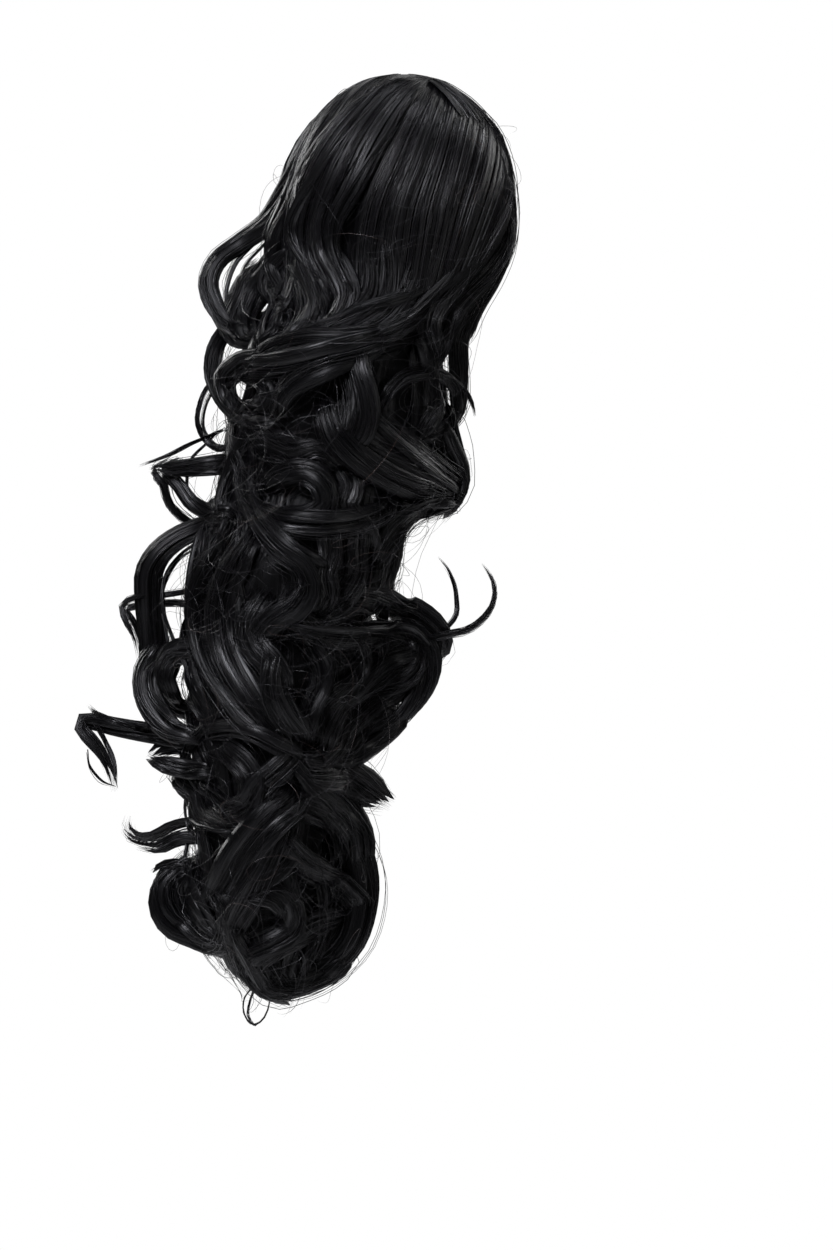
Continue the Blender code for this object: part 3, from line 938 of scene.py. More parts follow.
# %% Crown locks
CROWN_LOCKS = (
    # name, width, depth, ends, bends as (across, down, lift)
    ("loop", 10, 6, "r", ((-59, -23, 1), (-66, -6, 1), (-74, 9, 1), (-84, 23, 2), (-98, 33, 3),
        (-108, 41, 5), (-112, 51, 6), (-109, 63, 7), (-103, 72, 7), (-93, 74, 8))),
    ("loop wisp", 3, 3, "r", ((-69, 6, 1), (-78, 21, 1), (-91, 32, 2), (-99, 41, 2), (-103, 51, 2),
        (-104, 62, 3), (-102, 70, 3))),
    ("loop thread", 2, 2, "r", ((-68, 10, 1), (-76, 24, 1), (-87, 34, 2), (-95, 43, 2),
        (-98, 53, 3), (-103, 63, 3))),
    ("loop strand", 2, 2, "rt", ((-66, 14, 1), (-73, 27, 1), (-84, 37, 2), (-91, 46, 2),
        (-95, 56, 3), (-98, 66, 3))),
    ("edge sweep", 12, 6, "rt", ((-44, -37, 0), (-57, -19, 0), (-66, 1, 1), (-73, 17, 1),
        (-79, 30, 2), (-80, 43, 2), (-76, 54, 3), (-79, 64, 3))),
    ("outer sweep", 14, 7, "rt", ((-26, -39, 0), (-42, -17, 1), (-55, 4, 2), (-63, 16, 3),
        (-68, 27, 3), (-63, 38, 4), (-55, 48, 5), (-50, 59, 5))),
    ("inner sweep", 13, 7, "rt", ((-19, -35, 0), (-28, -16, 1), (-38, 2, 3), (-47, 13, 4),
        (-54, 24, 5), (-54, 37, 5), (-48, 49, 6), (-44, 60, 6), (-48, 71, 5), (-56, 79, 5))),
    ("parting edge", 9, 5, "rt", ((-16, -33, 0), (-23, -16, 1), (-33, -1, 3), (-42, 12, 4),
        (-48, 23, 4), (-50, 35, 5), (-47, 47, 6), (-42, 58, 6))),
    ("loop fill", 11, 6, "rt", ((-72, 38, 1), (-82, 47, 2), (-90, 57, 2), (-94, 67, 3),
        (-92, 78, 3))),
    ("side tangle", 12, 7, "rt", ((-82, 41, 3), (-84, 51, 4), (-79, 60, 5), (-74, 70, 6),
        (-79, 80, 5), (-87, 85, 4))),
    ("middle tangle", 13, 7, "rt", ((-68, 43, 3), (-62, 55, 5), (-59, 66, 6), (-63, 76, 6),
        (-71, 85, 4))),
    ("low tangle", 10, 6, "rt", ((0, 50, -5), (-12, 60, 1), (-24, 65, 4), (-37, 70, 6),
        (-49, 76, 7), (-63, 81, 6), (-76, 82, 4))),
    ("edge tangle", 10, 6, "rt", ((-93, 48, 1), (-98, 60, 2), (-102, 70, 3), (-97, 79, 3),
        (-87, 81, 2))),
    ("right sweep", 10, 5, "rt", ((32, 6, 1), (27, 23, 2), (19, 39, 2), (7, 53, 3), (-5, 63, 3),
        (-16, 72, 4))),
    ("right drape", 13, 6, "rt", ((32, 27, 1), (25, 43, 2), (14, 56, 2), (5, 67, 3), (1, 78, 3),
        (-3, 89, 4))),
    ("right edge", 8, 5, "t", ((33, -4, -3), (35, 14, 0), (33, 32, 0), (26, 50, 0), (17, 66, 0),
        (12, 79, 0))),
    ("ridge", 5, 4, "", ((-10, -46, -2), (-4, -45, 0), (6, -40, 0), (16, -32, 0), (25, -24, 0),
        (31, -12, 0), (34, 1, 0), (35, 15, 0), (34, 27, -2))),
    ("panel curl", 10, 6, "rt", ((-35, 38, -4), (-34, 50, 1), (-35, 60, 3), (-44, 70, 5),
        (-56, 78, 6), (-66, 82, 5))),
    ("centre curl", 10, 6, "rt", ((-24, 30, -4), (-23, 49, 1), (-25, 62, 3), (-34, 72, 6),
        (-46, 79, 7), (-59, 82, 7))),
    ("long curl", 10, 6, "rt", ((-12, 42, -4), (-14, 54, 1), (-18, 65, 3), (-25, 74, 6),
        (-37, 80, 7), (-50, 83, 7))),
    ("hem curl", 9, 5, "rt", ((-3, 33, -4), (-5, 52, 0), (-9, 66, 3), (-18, 75, 6), (-29, 81, 6))),
    ("hem fall", 10, 5, "rt", ((7, 40, -4), (4, 52, 0), (-2, 63, 2), (-6, 74, 4), (-5, 86, 3))),
)
named_locks("crown_locks", CROWN_LOCKS)

# %% [markdown]
# The upper curls lie across the tail under the crown. The widest roll over it and bulge out on the
# right, and smaller ones close into two rings on the left.

# %% Upper curls
UPPER_CURLS = (
    # name, width, depth, ends, bends as (across, down, lift)
    ("left outer", 7, 6, "rt", ((-93, 66, 2), (-103, 74, 1), (-109, 85, 1), (-110, 95, 0),
        (-106, 107, 1), (-100, 115, 2), (-91, 120, 4), (-81, 121, 5))),
    ("left eye", 9, 7, "rt", ((-53, 88, 7), (-71, 91, 7), (-86, 91, 6), (-98, 93, 4), (-104, 99, 3),
        (-103, 107, 2), (-97, 114, 3), (-88, 119, 4), (-78, 121, 5))),
    ("eye heart", 10, 6, "rt", ((-95, 98, 2), (-85, 100, 3), (-81, 107, 4), (-85, 114, 4),
        (-94, 115, 3))),
    ("side ring", 3, 3, "rt", ((-102, 97, 1), (-112, 102, 0), (-116, 111, 0), (-117, 120, 0),
        (-113, 129, 0), (-107, 133, 0), (-98, 130, 1))),
    ("side ring wisp", 2, 2, "rt", ((-101, 102, 1), (-111, 107, 0), (-114, 115, 0), (-114, 123, 0),
        (-110, 129, 0), (-102, 132, 1))),
    ("roll top", 10, 7, "rt", ((-8, 70, -4), (-20, 77, 3), (-32, 80, 7), (-46, 82, 9), (-62, 82, 9),
        (-76, 84, 8), (-87, 89, 5))),
    ("upper roll", 11, 8, "rt", ((-12, 78, -3), (-25, 82, 4), (-39, 86, 8), (-54, 89, 10),
        (-68, 92, 10), (-80, 94, 8), (-92, 95, 6))),
    ("roll under", 11, 8, "rt", ((-30, 85, 5), (-42, 90, 7), (-54, 96, 9), (-64, 101, 8),
        (-72, 107, 6), (-76, 114, 4))),
    ("centre lock", 17, 9, "rt", ((-41, 82, -2), (-40, 96, 7), (-37, 107, 10), (-37, 117, 10),
        (-41, 127, 8), (-49, 134, 5))),
    ("right swirl", 6, 5, "rt", ((-28, 114, 4), (-24, 107, 6), (-18, 101, 6), (-9, 98, 4),
        (1, 98, 2), (8, 106, 1), (7, 116, 1), (0, 124, 2), (-9, 129, 3))),
    ("swirl tip", 3, 3, "r", ((-3, 98, 3), (8, 100, 2), (13, 105, 1), (16, 111, 0), (17, 117, 0))),
    ("right hang", 9, 6, "rt", ((18, 60, 0), (13, 71, 0), (9, 82, 0), (9, 93, 0), (9, 103, 0),
        (9, 113, 0), (3, 122, 1), (-6, 128, 2))),
    ("right drop", 12, 7, "rt", ((-8, 81, 4), (-5, 93, 3), (-6, 103, 2), (-4, 113, 2),
        (-9, 123, 3))),
    ("low diagonal", 13, 8, "rt", ((-55, 116, 5), (-50, 129, 8), (-41, 138, 9), (-30, 145, 8),
        (-17, 151, 7), (-4, 155, 4), (9, 157, 1))),
    ("high diagonal", 13, 8, "rt", ((-33, 118, 5), (-22, 128, 8), (-12, 135, 8), (-1, 142, 6),
        (9, 151, 2))),
    ("right bulge", 13, 8, "rt", ((0, 124, 1), (4, 133, 0), (7, 141, 0), (7, 150, 0), (4, 157, 0))),
    ("right fold", 14, 9, "rt", ((8, 136, -3), (7, 150, 0), (0, 158, 0), (-9, 162, 1),
        (-17, 167, 2), (-24, 175, 3), (-29, 184, 3))),
    ("bulge sheet", 16, 8, "rt", ((-43, 123, 4), (-30, 133, 7), (-17, 141, 8), (-4, 148, 6),
        (6, 154, 2))),
    ("bulge edge", 9, 6, "rt", ((3, 116, 0), (7, 129, 0), (9, 142, 0), (9, 152, 0), (4, 160, 0),
        (-6, 164, 1))),
    ("second eye", 12, 8, "rt", ((-82, 152, 5), (-73, 146, 7), (-63, 146, 8), (-56, 152, 9),
        (-55, 161, 8), (-63, 166, 7), (-75, 165, 6))),
    ("waist roll", 12, 8, "rt", ((-26, 162, 4), (-40, 167, 7), (-56, 169, 9), (-70, 169, 9),
        (-82, 166, 7), (-92, 160, 5))),
    ("left curve", 9, 7, "rt", ((-92, 141, 2), (-93, 150, 5), (-89, 162, 7), (-81, 173, 8),
        (-69, 183, 8), (-56, 189, 6))),
    ("side fall", 14, 8, "rt", ((-91, 123, 3), (-95, 135, 3), (-98, 146, 3), (-100, 158, 3),
        (-97, 169, 3), (-101, 179, 3))),
    ("frizzy heart", 15, 7, "rt", ((-90, 120, -2), (-80, 132, 3), (-69, 138, 5), (-57, 136, 4),
        (-49, 141, 3))),
    ("heart fall", 12, 7, "rt", ((-47, 138, -2), (-42, 152, 3), (-45, 161, 4), (-39, 170, 4),
        (-33, 179, 2))),
)
upper_curls = named_locks("upper_curls", UPPER_CURLS)

# %% [markdown]
# The side curls stand free on the left, with two hooks on the right. Laid flat in the view they
# would look like a cut-out from the side, so their lines also wander towards and away from it.

# %% Side curls
SIDE_CURLS = (
    # name, width, depth, ends, bends as (across, down, lift)
    ("flag", 8, 4, "r", ((-93, 139, 2), (-106, 140, 1), (-116, 141, 1), (-126, 142, 0),
        (-135, 142, 0), (-140, 142, 0))),
    ("flag fold", 5, 4, "rt", ((-138, 144, 0), (-133, 150, 0), (-131, 158, 0), (-126, 164, 0),
        (-118, 169, 1), (-106, 170, 2))),
    ("flag heart", 7, 5, "rt", ((-131, 144, 0), (-125, 151, 0), (-120, 158, 0), (-112, 163, 1),
        (-100, 164, 2))),
    ("flag arc", 2, 2, "rt", ((-113, 130, 2), (-120, 137, 1), (-122, 146, 0), (-121, 155, 0),
        (-115, 162, 1))),
    ("flag thread", 2, 1, "r", ((-111, 126, 1), (-120, 130, 0), (-131, 136, 0), (-145, 141, 0))),
    ("left arch", 11, 6, "rt", ((-100, 169, 3), (-116, 171, 2), (-127, 176, 1), (-136, 184, 0),
        (-140, 192, 0), (-140, 203, 0), (-139, 214, 0), (-138, 226, 0), (-138, 239, 0),
        (-136, 250, 0))),
    ("arch wisp", 2, 2, "rt", ((-113, 176, 1), (-125, 184, 0), (-131, 192, 0), (-133, 201, 0),
        (-132, 212, 0), (-128, 223, 0), (-122, 236, 0), (-117, 248, 1))),
    ("arch thread", 2, 2, "rt", ((-116, 180, 1), (-127, 187, 0), (-132, 196, 0), (-134, 207, 0),
        (-132, 217, 0), (-130, 228, 1))),
    ("arch fold", 4, 3, "r", ((-106, 200, 1), (-120, 201, 0), (-132, 203, 0), (-145, 204, 0),
        (-152, 208, 0), (-151, 214, 0), (-146, 224, 0), (-144, 235, 0))),
    ("fold arm", 4, 3, "rt", ((-106, 205, 1), (-118, 207, 0), (-132, 207, 0), (-144, 208, 0),
        (-151, 210, 0), (-147, 217, 0), (-143, 228, 0))),
    ("left cheek", 11, 7, "rt", ((-136, 230, 0), (-141, 239, 0), (-141, 249, 0), (-136, 259, 0),
        (-129, 267, 0), (-118, 271, 1))),
    ("cheek bridge", 10, 6, "rt", ((-106, 228, 2), (-118, 229, 1), (-129, 233, 0), (-132, 240, 0),
        (-130, 248, 0))),
    ("cheek wisp", 8, 6, "rt", ((-111, 255, 2), (-118, 259, 1), (-127, 256, 0), (-131, 248, 0),
        (-127, 237, 1))),
    ("far left", 8, 4, "r", ((-94, 270, 3), (-124, 272, 1), (-137, 270, 0), (-149, 268, 0),
        (-159, 266, 0), (-167, 264, 0), (-172, 264, 0), (-172, 267, 0), (-167, 273, 0),
        (-161, 281, 0), (-157, 290, 0), (-155, 297, 0))),
    ("far left tip", 4, 3, "r", ((-147, 266, 1), (-157, 263, 0), (-164, 260, 0), (-169, 256, 0))),
    ("far thread", 3, 2, "", ((-166, 264, 0), (-161, 273, 0), (-157, 282, 0), (-155, 294, 0))),
    ("tip frizz", 2, 1, "", ((-169, 277, 0), (-168, 286, 0), (-163, 292, 0), (-155, 295, 0))),
    ("middle left", 12, 6, "r", ((-100, 278, 4), (-113, 274, 2), (-125, 274, 1), (-134, 277, 0),
        (-140, 281, 0))),
    ("middle under", 8, 5, "r", ((-111, 287, 3), (-122, 286, 2), (-131, 284, 1), (-140, 281, 0))),
    ("drop wisp", 2, 2, "rt", ((-118, 288, 1), (-121, 297, 0), (-122, 306, 0), (-120, 315, 1))),
    ("drop thread", 1, 1, "rt", ((-116, 290, 1), (-119, 299, 0), (-120, 306, 0), (-118, 315, 1))),
    ("low left", 9, 5, "r", ((-97, 318, 5), (-108, 313, 4), (-119, 311, 2), (-129, 314, 1),
        (-138, 319, 0), (-146, 319, 0), (-151, 314, 0), (-150, 309, 0))),
    ("low left under", 6, 4, "r", ((-103, 321, 3), (-115, 319, 2), (-126, 320, 0), (-136, 324, 0),
        (-145, 323, 0))),
    ("low left frizz", 2, 1, "r", ((-123, 319, 1), (-134, 322, 0), (-143, 322, 0), (-149, 319, 0),
        (-152, 315, 0))),
    ("hang wisp", 3, 3, "rt", ((-120, 316, 1), (-121, 324, 0), (-122, 332, 0), (-120, 340, 1))),
    ("short hook", 3, 3, "r", ((-3, 223, 0), (4, 218, 0), (8, 212, 0), (8, 205, 0), (7, 198, 0),
        (4, 191, 0), (-1, 185, 0))),
    ("long hook", 4, 3, "r", ((-5, 224, 0), (4, 222, 0), (13, 220, 0), (20, 215, 0), (25, 208, 0),
        (26, 199, 0), (23, 192, 0), (20, 188, 0))),
)
side_curls = named_locks("side_curls", SIDE_CURLS, SIDE_WANDER)

# %% [markdown]
# At the waist the hair falls nearly straight on the left, and a big ring turns out on the right.

# %% Middle curls
MIDDLE_CURLS = (
    # name, width, depth, ends, bends as (across, down, lift)
    ("left sheet", 14, 8, "rt", ((-101, 173, 3), (-109, 189, 3), (-114, 205, 3), (-113, 220, 3),
        (-107, 236, 4), (-99, 248, 5), (-90, 260, 5), (-80, 269, 6))),
    ("left fall", 14, 8, "rt", ((-90, 179, 4), (-99, 194, 5), (-104, 209, 5), (-103, 223, 5),
        (-97, 237, 6), (-90, 247, 6), (-81, 259, 6), (-72, 269, 6))),
    ("sheet edge", 8, 6, "rt", ((-113, 173, 1), (-117, 189, 0), (-118, 204, 0), (-117, 218, 0),
        (-114, 230, 0), (-108, 241, 1))),
    ("upper wave", 13, 8, "rt", ((-82, 175, 4), (-74, 183, 6), (-64, 190, 7), (-61, 199, 8),
        (-67, 209, 7), (-79, 216, 6), (-85, 223, 5))),
    ("wave return", 13, 8, "rt", ((-84, 209, 4), (-89, 218, 6), (-87, 227, 6), (-80, 235, 6),
        (-75, 243, 5))),
    ("lens", 13, 8, "rt", ((-77, 233, 5), (-79, 242, 8), (-77, 252, 9), (-71, 261, 8),
        (-64, 269, 7))),
    ("waist fall", 12, 7, "rt", ((-53, 173, 3), (-51, 184, 4), (-54, 194, 4), (-53, 203, 4),
        (-58, 211, 2))),
    ("right edge fall", 12, 8, "rt", ((-21, 171, 0), (-24, 181, 0), (-27, 192, 0), (-31, 201, 0),
        (-37, 210, 0))),
    ("waist wave", 12, 7, "rt", ((-38, 173, 2), (-40, 184, 4), (-40, 194, 4), (-44, 203, 3),
        (-49, 210, 2))),
    ("crest root", 14, 8, "rt", ((-70, 209, 3), (-63, 218, 5), (-54, 225, 6), (-43, 227, 4),
        (-30, 224, 3))),
    ("right crest", 15, 9, "rt", ((-56, 217, 6), (-46, 211, 5), (-37, 207, 5), (-27, 206, 4),
        (-17, 210, 2), (-8, 215, 1), (-2, 221, 1), (0, 226, 0))),
    ("crest under", 14, 9, "rt", ((-67, 221, 6), (-56, 222, 6), (-44, 221, 6), (-33, 219, 5),
        (-22, 218, 4), (-13, 221, 2), (-7, 227, 1))),
    ("right ring", 10, 8, "rt", ((-19, 217, 2), (-10, 222, 1), (-5, 230, 1), (-5, 238, 0),
        (-8, 247, 0), (-13, 255, 0), (-21, 263, 1), (-30, 268, 2))),
    ("ring shade", 11, 7, "rt", ((-13, 225, 0), (-11, 233, 0), (-14, 241, 1), (-21, 245, 2),
        (-30, 248, 2))),
    ("crest heart", 13, 7, "rt", ((-33, 225, 0), (-25, 226, 0), (-19, 231, 0), (-21, 237, 0),
        (-30, 240, 1))),
    ("right inner", 16, 9, "rt", ((-10, 232, 1), (-20, 235, 3), (-31, 241, 5), (-41, 248, 6),
        (-50, 255, 7), (-54, 264, 7), (-56, 272, 6))),
    ("inner twist", 15, 9, "rt", ((-13, 239, 0), (-21, 247, 2), (-31, 253, 4), (-40, 259, 5),
        (-47, 267, 6), (-50, 275, 6), (-56, 281, 6))),
    ("right lobe", 15, 9, "rt", ((-21, 261, 0), (-27, 267, 1), (-34, 273, 2), (-41, 278, 4),
        (-49, 278, 5), (-56, 276, 6))),
    ("lobe root", 12, 8, "rt", ((-28, 253, 1), (-33, 261, 2), (-39, 267, 3), (-43, 273, 4),
        (-48, 279, 4))),
    ("crest fan", 12, 7, "rt", ((-43, 225, 3), (-37, 232, 4), (-39, 240, 4), (-46, 245, 4),
        (-54, 250, 4))),
    ("centre fan", 12, 7, "rt", ((-61, 227, 2), (-56, 236, 3), (-56, 245, 4), (-60, 254, 4),
        (-62, 264, 5))),
)
middle_curls = named_locks("middle_curls", MIDDLE_CURLS)

# %% [markdown]
# The last set winds into the large ring at the bottom, with one thin loop that hangs from it.

# %% Lower curls
LOWER_CURLS = (
    # name, width, depth, ends, bends as (across, down, lift)
    ("left crook", 9, 7, "rt", ((-119, 282, 3), (-114, 272, 5), (-105, 267, 7), (-95, 266, 8),
        (-85, 269, 8), (-76, 274, 7), (-68, 279, 6))),
    ("crook bowl", 14, 8, "rt", ((-101, 274, 3), (-94, 282, 5), (-89, 291, 6), (-91, 301, 7),
        (-100, 307, 6))),
    ("crook return", 12, 7, "rt", ((-70, 279, 6), (-77, 287, 7), (-85, 294, 7), (-91, 302, 6),
        (-101, 305, 5))),
    ("bowl arc", 7, 5, "rt", ((-123, 279, 1), (-117, 290, 2), (-107, 299, 3), (-96, 304, 4),
        (-84, 302, 4), (-77, 296, 5))),
    ("left tangle", 12, 7, "rt", ((-125, 291, 2), (-118, 297, 2), (-114, 306, 3), (-104, 311, 4),
        (-94, 311, 4))),
    ("blunt stub", 17, 8, "r", ((-63, 284, 8), (-53, 288, 8), (-43, 291, 6), (-34, 295, 4),
        (-27, 300, 2), (-23, 303, 0))),
    ("stub under", 13, 7, "r", ((-61, 291, 6), (-52, 292, 6), (-43, 296, 4), (-34, 301, 1),
        (-26, 304, 0))),
    ("right strand", 14, 8, "rt", ((-66, 285, 8), (-59, 294, 9), (-51, 301, 8), (-43, 309, 7),
        (-39, 319, 4), (-39, 331, 0))),
    ("big ring", 20, 9, "rt", ((-66, 301, 6), (-52, 309, 4), (-43, 322, 2), (-39, 337, 0),
        (-40, 353, 0), (-45, 368, 0), (-56, 379, 0), (-69, 385, 1), (-82, 384, 3))),
    ("ring rim", 8, 6, "rt", ((-46, 312, 2), (-38, 327, 0), (-35, 343, 0), (-37, 358, 0),
        (-42, 372, 0), (-52, 383, 0), (-63, 389, 2))),
    ("ring bridge", 16, 9, "rt", ((-75, 318, 5), (-67, 328, 7), (-58, 336, 6), (-48, 342, 3),
        (-39, 350, 1))),
    ("ring twist", 10, 7, "rt", ((-69, 306, 3), (-71, 316, 4), (-73, 326, 4), (-80, 335, 4),
        (-87, 342, 4))),
    ("heart crown", 14, 8, "rt", ((-89, 344, 5), (-79, 345, 6), (-71, 352, 7), (-71, 361, 6),
        (-79, 367, 5), (-89, 371, 3))),
    ("ring heart", 12, 8, "rt", ((-47, 356, 1), (-57, 359, 2), (-67, 365, 4), (-77, 370, 5),
        (-87, 377, 5))),
    ("heart shade", 12, 7, "rt", ((-46, 344, -7), (-52, 353, -7), (-57, 365, -7), (-62, 377, -5))),
    ("last curl", 12, 7, "r", ((-95, 363, 4), (-90, 374, 3), (-83, 384, 2), (-76, 392, 1),
        (-70, 398, 0))),
    ("ring bottom", 14, 8, "rt", ((-47, 377, 0), (-58, 385, 0), (-70, 389, 1), (-81, 389, 2),
        (-90, 382, 2))),
    ("low tip", 9, 6, "r", ((-99, 356, 4), (-100, 365, 3), (-98, 375, 2), (-94, 384, 1),
        (-89, 393, 0))),
    ("broad diagonal", 18, 9, "rt", ((-69, 299, 8), (-79, 309, 10), (-88, 320, 10), (-96, 331, 9),
        (-103, 341, 7), (-109, 349, 4))),
    ("inner diagonal", 14, 8, "rt", ((-74, 312, 7), (-81, 325, 8), (-87, 337, 8), (-92, 348, 6),
        (-97, 359, 4))),
    ("diagonal tail", 10, 7, "rt", ((-107, 343, 5), (-101, 352, 5), (-100, 361, 4), (-103, 368, 3),
        (-111, 371, 2))),
    ("low ring", 12, 7, "rt", ((-126, 335, 0), (-132, 342, 0), (-133, 351, 0), (-128, 360, 0),
        (-119, 365, 0), (-109, 369, 0), (-99, 368, 1))),
    ("low ring heart", 13, 7, "rt", ((-116, 336, 1), (-124, 342, 0), (-125, 350, 0), (-120, 358, 0),
        (-112, 363, 1), (-103, 364, 2))),
    ("low ring bowl", 10, 6, "rt", ((-113, 342, 1), (-116, 349, 1), (-113, 356, 1),
        (-106, 361, 2))),
    ("low ring stub", 6, 4, "r", ((-119, 334, 1), (-128, 333, 0), (-134, 334, 0), (-137, 337, 0))),
    ("low ring top", 7, 5, "rt", ((-111, 332, 2), (-119, 333, 1), (-126, 336, 1), (-132, 343, 0))),
    ("tip ring", 1, 1, "r", ((-90, 391, 0), (-94, 397, 0), (-94, 403, 0), (-91, 408, 0),
        (-85, 406, 0), (-82, 400, 0), (-81, 394, 0))),
    ("tip ring thread", 1, 1, "r", ((-89, 392, 0), (-91, 398, 0), (-92, 404, 0), (-89, 409, 0),
        (-84, 405, 0))),
)
lower_curls = named_locks("lower_curls", LOWER_CURLS)

# %% [markdown]
# Under the named locks the tail is a dense fall of wavy hair. Its inner mass is turned out from
# one ring that is extruded and resized level by level, and wavy locks are then combed round it on
# every side, from one rule with a seeded spread, because nobody sees where each of them begins.

# %% The tail's inner mass
TAIL_TOP = 66
TAIL_END = 388
CORE_INSET = 3.5
CORE_LEVELS = 40


def core_ring(down):
    """Half width, half depth and middle of the inner mass at a level, in metres."""
    centre, half_width, half_depth = section_at(float(down))
    middle = (centre * MM, centre * MM / math.tan(SHOW_TURN), -down * MM)
    return (half_width - CORE_INSET) * MM, (half_depth - CORE_INSET) * MM, middle


def tail_flow(x, y, z):
    middle = shown(section_at(-z)[0], 0, -z) / MM
    bearing = math.atan2(x - middle[0], y - middle[1])
    return abs(bearing) * FLOW_TURN + 0.3 * math.sin(z / 12), z / FLOW_FALL


def tail_core():
    bpy.ops.object.select_all(action="DESELECT")
    bpy.ops.mesh.primitive_circle_add(vertices=48, radius=1, fill_type="NGON")
    made = bpy.context.object
    made.name = "tail_under"
    wide, deep, place = core_ring(TAIL_TOP)
    bpy.ops.object.mode_set(mode="EDIT")
    bpy.ops.mesh.select_all(action="SELECT")
    bpy.ops.transform.resize(value=(wide, deep, 1))
    bpy.ops.transform.translate(value=place)
    for down in np.linspace(TAIL_TOP, TAIL_END, CORE_LEVELS)[1:]:
        last_wide, last_deep, last_place = wide, deep, place
        wide, deep, place = core_ring(down)
        step = tuple(now - before for now, before in zip(place, last_place))
        bpy.ops.mesh.extrude_region_move(TRANSFORM_OT_translate={"value": step})
        bpy.ops.transform.resize(value=(wide / last_wide, deep / last_deep, 1))
    bpy.ops.mesh.select_all(action="SELECT")
    bpy.ops.mesh.normals_make_consistent(inside=False)
    bpy.ops.object.mode_set(mode="OBJECT")
    made.rotation_euler = (0, 0, SHOW_TURN)
    bpy.ops.object.transform_apply(location=True, rotation=True, scale=True)
    for vert in made.data.vertices:
        vert.co = out_of_hollow(np.array(vert.co), 0)
    finish_under(made, "tail_hair", tail_flow)


tail_core()

# %% [markdown]
# A falling lock winds down the tail at one bearing, and swings to and fro and in and out as it
# goes. Rows of them start one under another. On the near side they lie deeper and are sparser,
# because the named curls cover them there, and elsewhere they are the hair that is seen.

# %% Wavy hair round the tail
TAIL_STOP = 392
HOLLOW_GAP = 3 * MM
NAMED_SPREAD = 60
SEEN_STRANDS = 4
SEEN_STEP = 9 * MM
FALL_STRANDS = 11
FALL_STEP = 6 * MM
FALL_STRAY = 0.12
FALL_RADIUS = STRAND_RADIUS * 1.2
FALL_ROWS = (
    # start down, locks in the row, length
    (50, 18, 105),
    (104, 18, 100),
    (150, 17, 100),
    (198, 16, 95),
    (246, 14, 90),
    (292, 12, 80),
    (330, 10, 60),
)


def falling_lock(bearing, start, length, width, depth, wave, sway, lift):
    """A lock at a bearing, with its wave and sway in mm."""
    falls = np.linspace(0, length, 12)
    phase = random.random() * 2 * math.pi + 2 * math.pi * falls / wave
    downs = np.minimum(start + falls, TAIL_STOP)
    half_width = section_at(downs)[1]
    swing = sway * np.sin(phase) / np.maximum(half_width, 14)
    heights = lift + 0.45 * sway * np.cos(phase)
    heights[0] -= 12
    heights[-1] -= 6
    points = wrapped(math.radians(bearing) + swing, downs, heights)
    return Lock(points, width, depth, None, twist=0.9)


def wavy_fall(piece, rows):
    tubes = Tubes()
    for start, locks, length in rows:
        divisor = locks
        for k in range(locks):
            bearing = 360 * (k + random.uniform(-0.35, 0.35)) / divisor + start
            seen = abs((bearing + 180) % 360 - 180) < NAMED_SPREAD
            lock = falling_lock(
                bearing,
                start + random.uniform(-12, 12),
                length * random.uniform(0.8, 1.2),
                random.uniform(9, 15),
                random.uniform(5, 8),
                random.uniform(48, 74),
                random.uniform(2, 5) if seen else random.uniform(5, 11),
                random.uniform(-4, -2) if seen else random.uniform(-1, 3),
            )
            lock.points = out_of_hollow(lock.points, HOLLOW_GAP)
            lock.knots = curve_of(lock.points)
            count, step = (SEEN_STRANDS, SEEN_STEP) if seen else (FALL_STRANDS, FALL_STEP)
            grow(tubes, lock, count, FALL_STRAY, FALL_RADIUS, step)
            # The next bearing is divided by this count, which scatters the locks of a row.
            divisor = count
    return tubes.mesh(piece, fine_hair, ribbon_hair)


upper_fall = wavy_fall("upper_wavy_hair", FALL_ROWS[:3])
lower_fall = wavy_fall("lower_wavy_hair", FALL_ROWS[3:])

# %% [markdown]
# Fine loose hairs break the outline, as on any curly piece. Each is a single thin tube that leaves
# the mass, curls once or so and comes back, with warm brown painted in at random along it for the
# light that passes through thin hair. A second set of arcs lies over the near curls, and catches
# the light as stray hairs do. All stay inside the space that the solid model allows for hair that
# stands proud.

# %% Loose hairs
LOOSE_RINGS = 17
MARGIN = 0.008


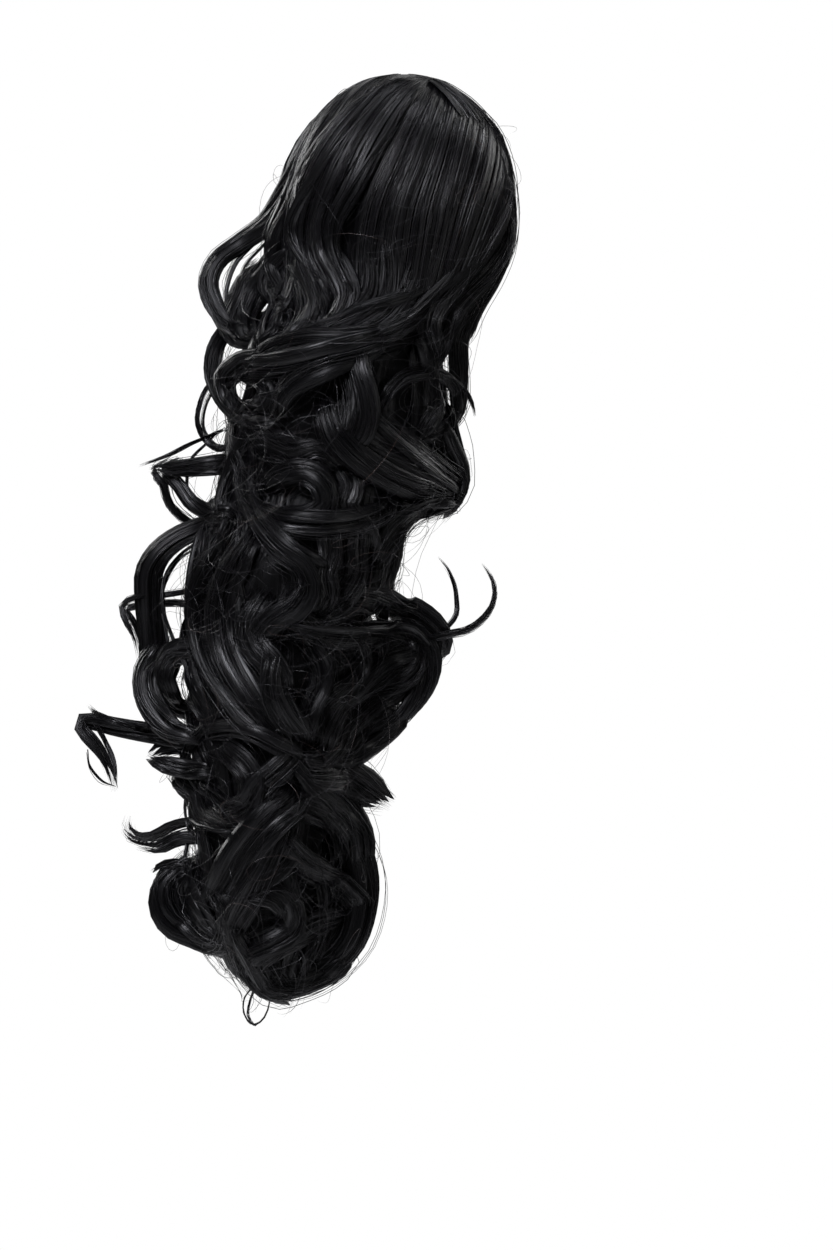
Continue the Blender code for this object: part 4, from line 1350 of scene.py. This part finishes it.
def loose_paths(count, spread, downs_range, reaches, lengths):
    """Paths that leave the mass within a spread of bearings, and curl back to it."""
    low = np.array(CAD_BOX[0]) - MARGIN
    high = np.array(CAD_BOX[1]) + MARGIN
    shares = np.linspace(0, 1, LOOSE_RINGS)
    paths = []
    while len(paths) < count:
        bearing = random.uniform(-spread, spread)
        down = random.uniform(*downs_range)
        length = random.uniform(*lengths)
        reach = random.uniform(*reaches) * (1 if down > 60 else 0.5)
        drift = random.normal(0, 0.5)
        curls = random.uniform(0.4, 1.5)
        phase = random.random() * 2 * math.pi
        downs = down + length * shares * random.uniform(-0.2, 1)
        downs = downs + 8 * np.sin(phase + shares * 2 * math.pi * curls)
        bearings = bearing + drift * shares + 0.25 * np.cos(phase + shares * 2 * math.pi * curls)
        path = wrapped(bearings, downs, reach * np.sin(shares * math.pi * 0.8) - 1)
        inside = np.linalg.norm((path - HOLLOW_CENTRE) / HOLLOW_HALF, axis=1).min() > 1
        if inside and (path > low).all() and (path < high).all():
            paths.append(path)
    return np.array(paths)


def loose_hairs(piece, paths, radius, finish):
    tubes = Tubes()
    taper = np.minimum(1, (1.02 - np.linspace(0, 1, LOOSE_RINGS)) * 3)
    tubes.add(paths, outward_of(paths), radius * taper, radius * taper, 3)
    return tubes.mesh(piece, finish)


halo_paths = loose_paths(380, math.pi, (-30, 385), (6, 27), (30, 110))
arc_paths = loose_paths(330, 1.75, (72, 385), (7, 13), (20, 80))
loose_hairs("loose_hairs", halo_paths, 0.09 * MM, loose_fibre)
loose_hairs("surface_arcs", arc_paths, 0.13 * MM, fine_hair)

# %% [markdown]
# The clip is the solid as it is, because its shape is right. It only needs its moulded plastic.

# %% Clip finish and the closing lines
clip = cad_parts["claw_clip"]
clip.data.materials.clear()
clip.data.materials.append(plastic_finish())
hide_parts("left_crown_weft")
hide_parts("right_crown_weft")
for piece in (upper_curls, side_curls, middle_curls, lower_curls, upper_fall, lower_fall):
    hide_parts("tail_hair")

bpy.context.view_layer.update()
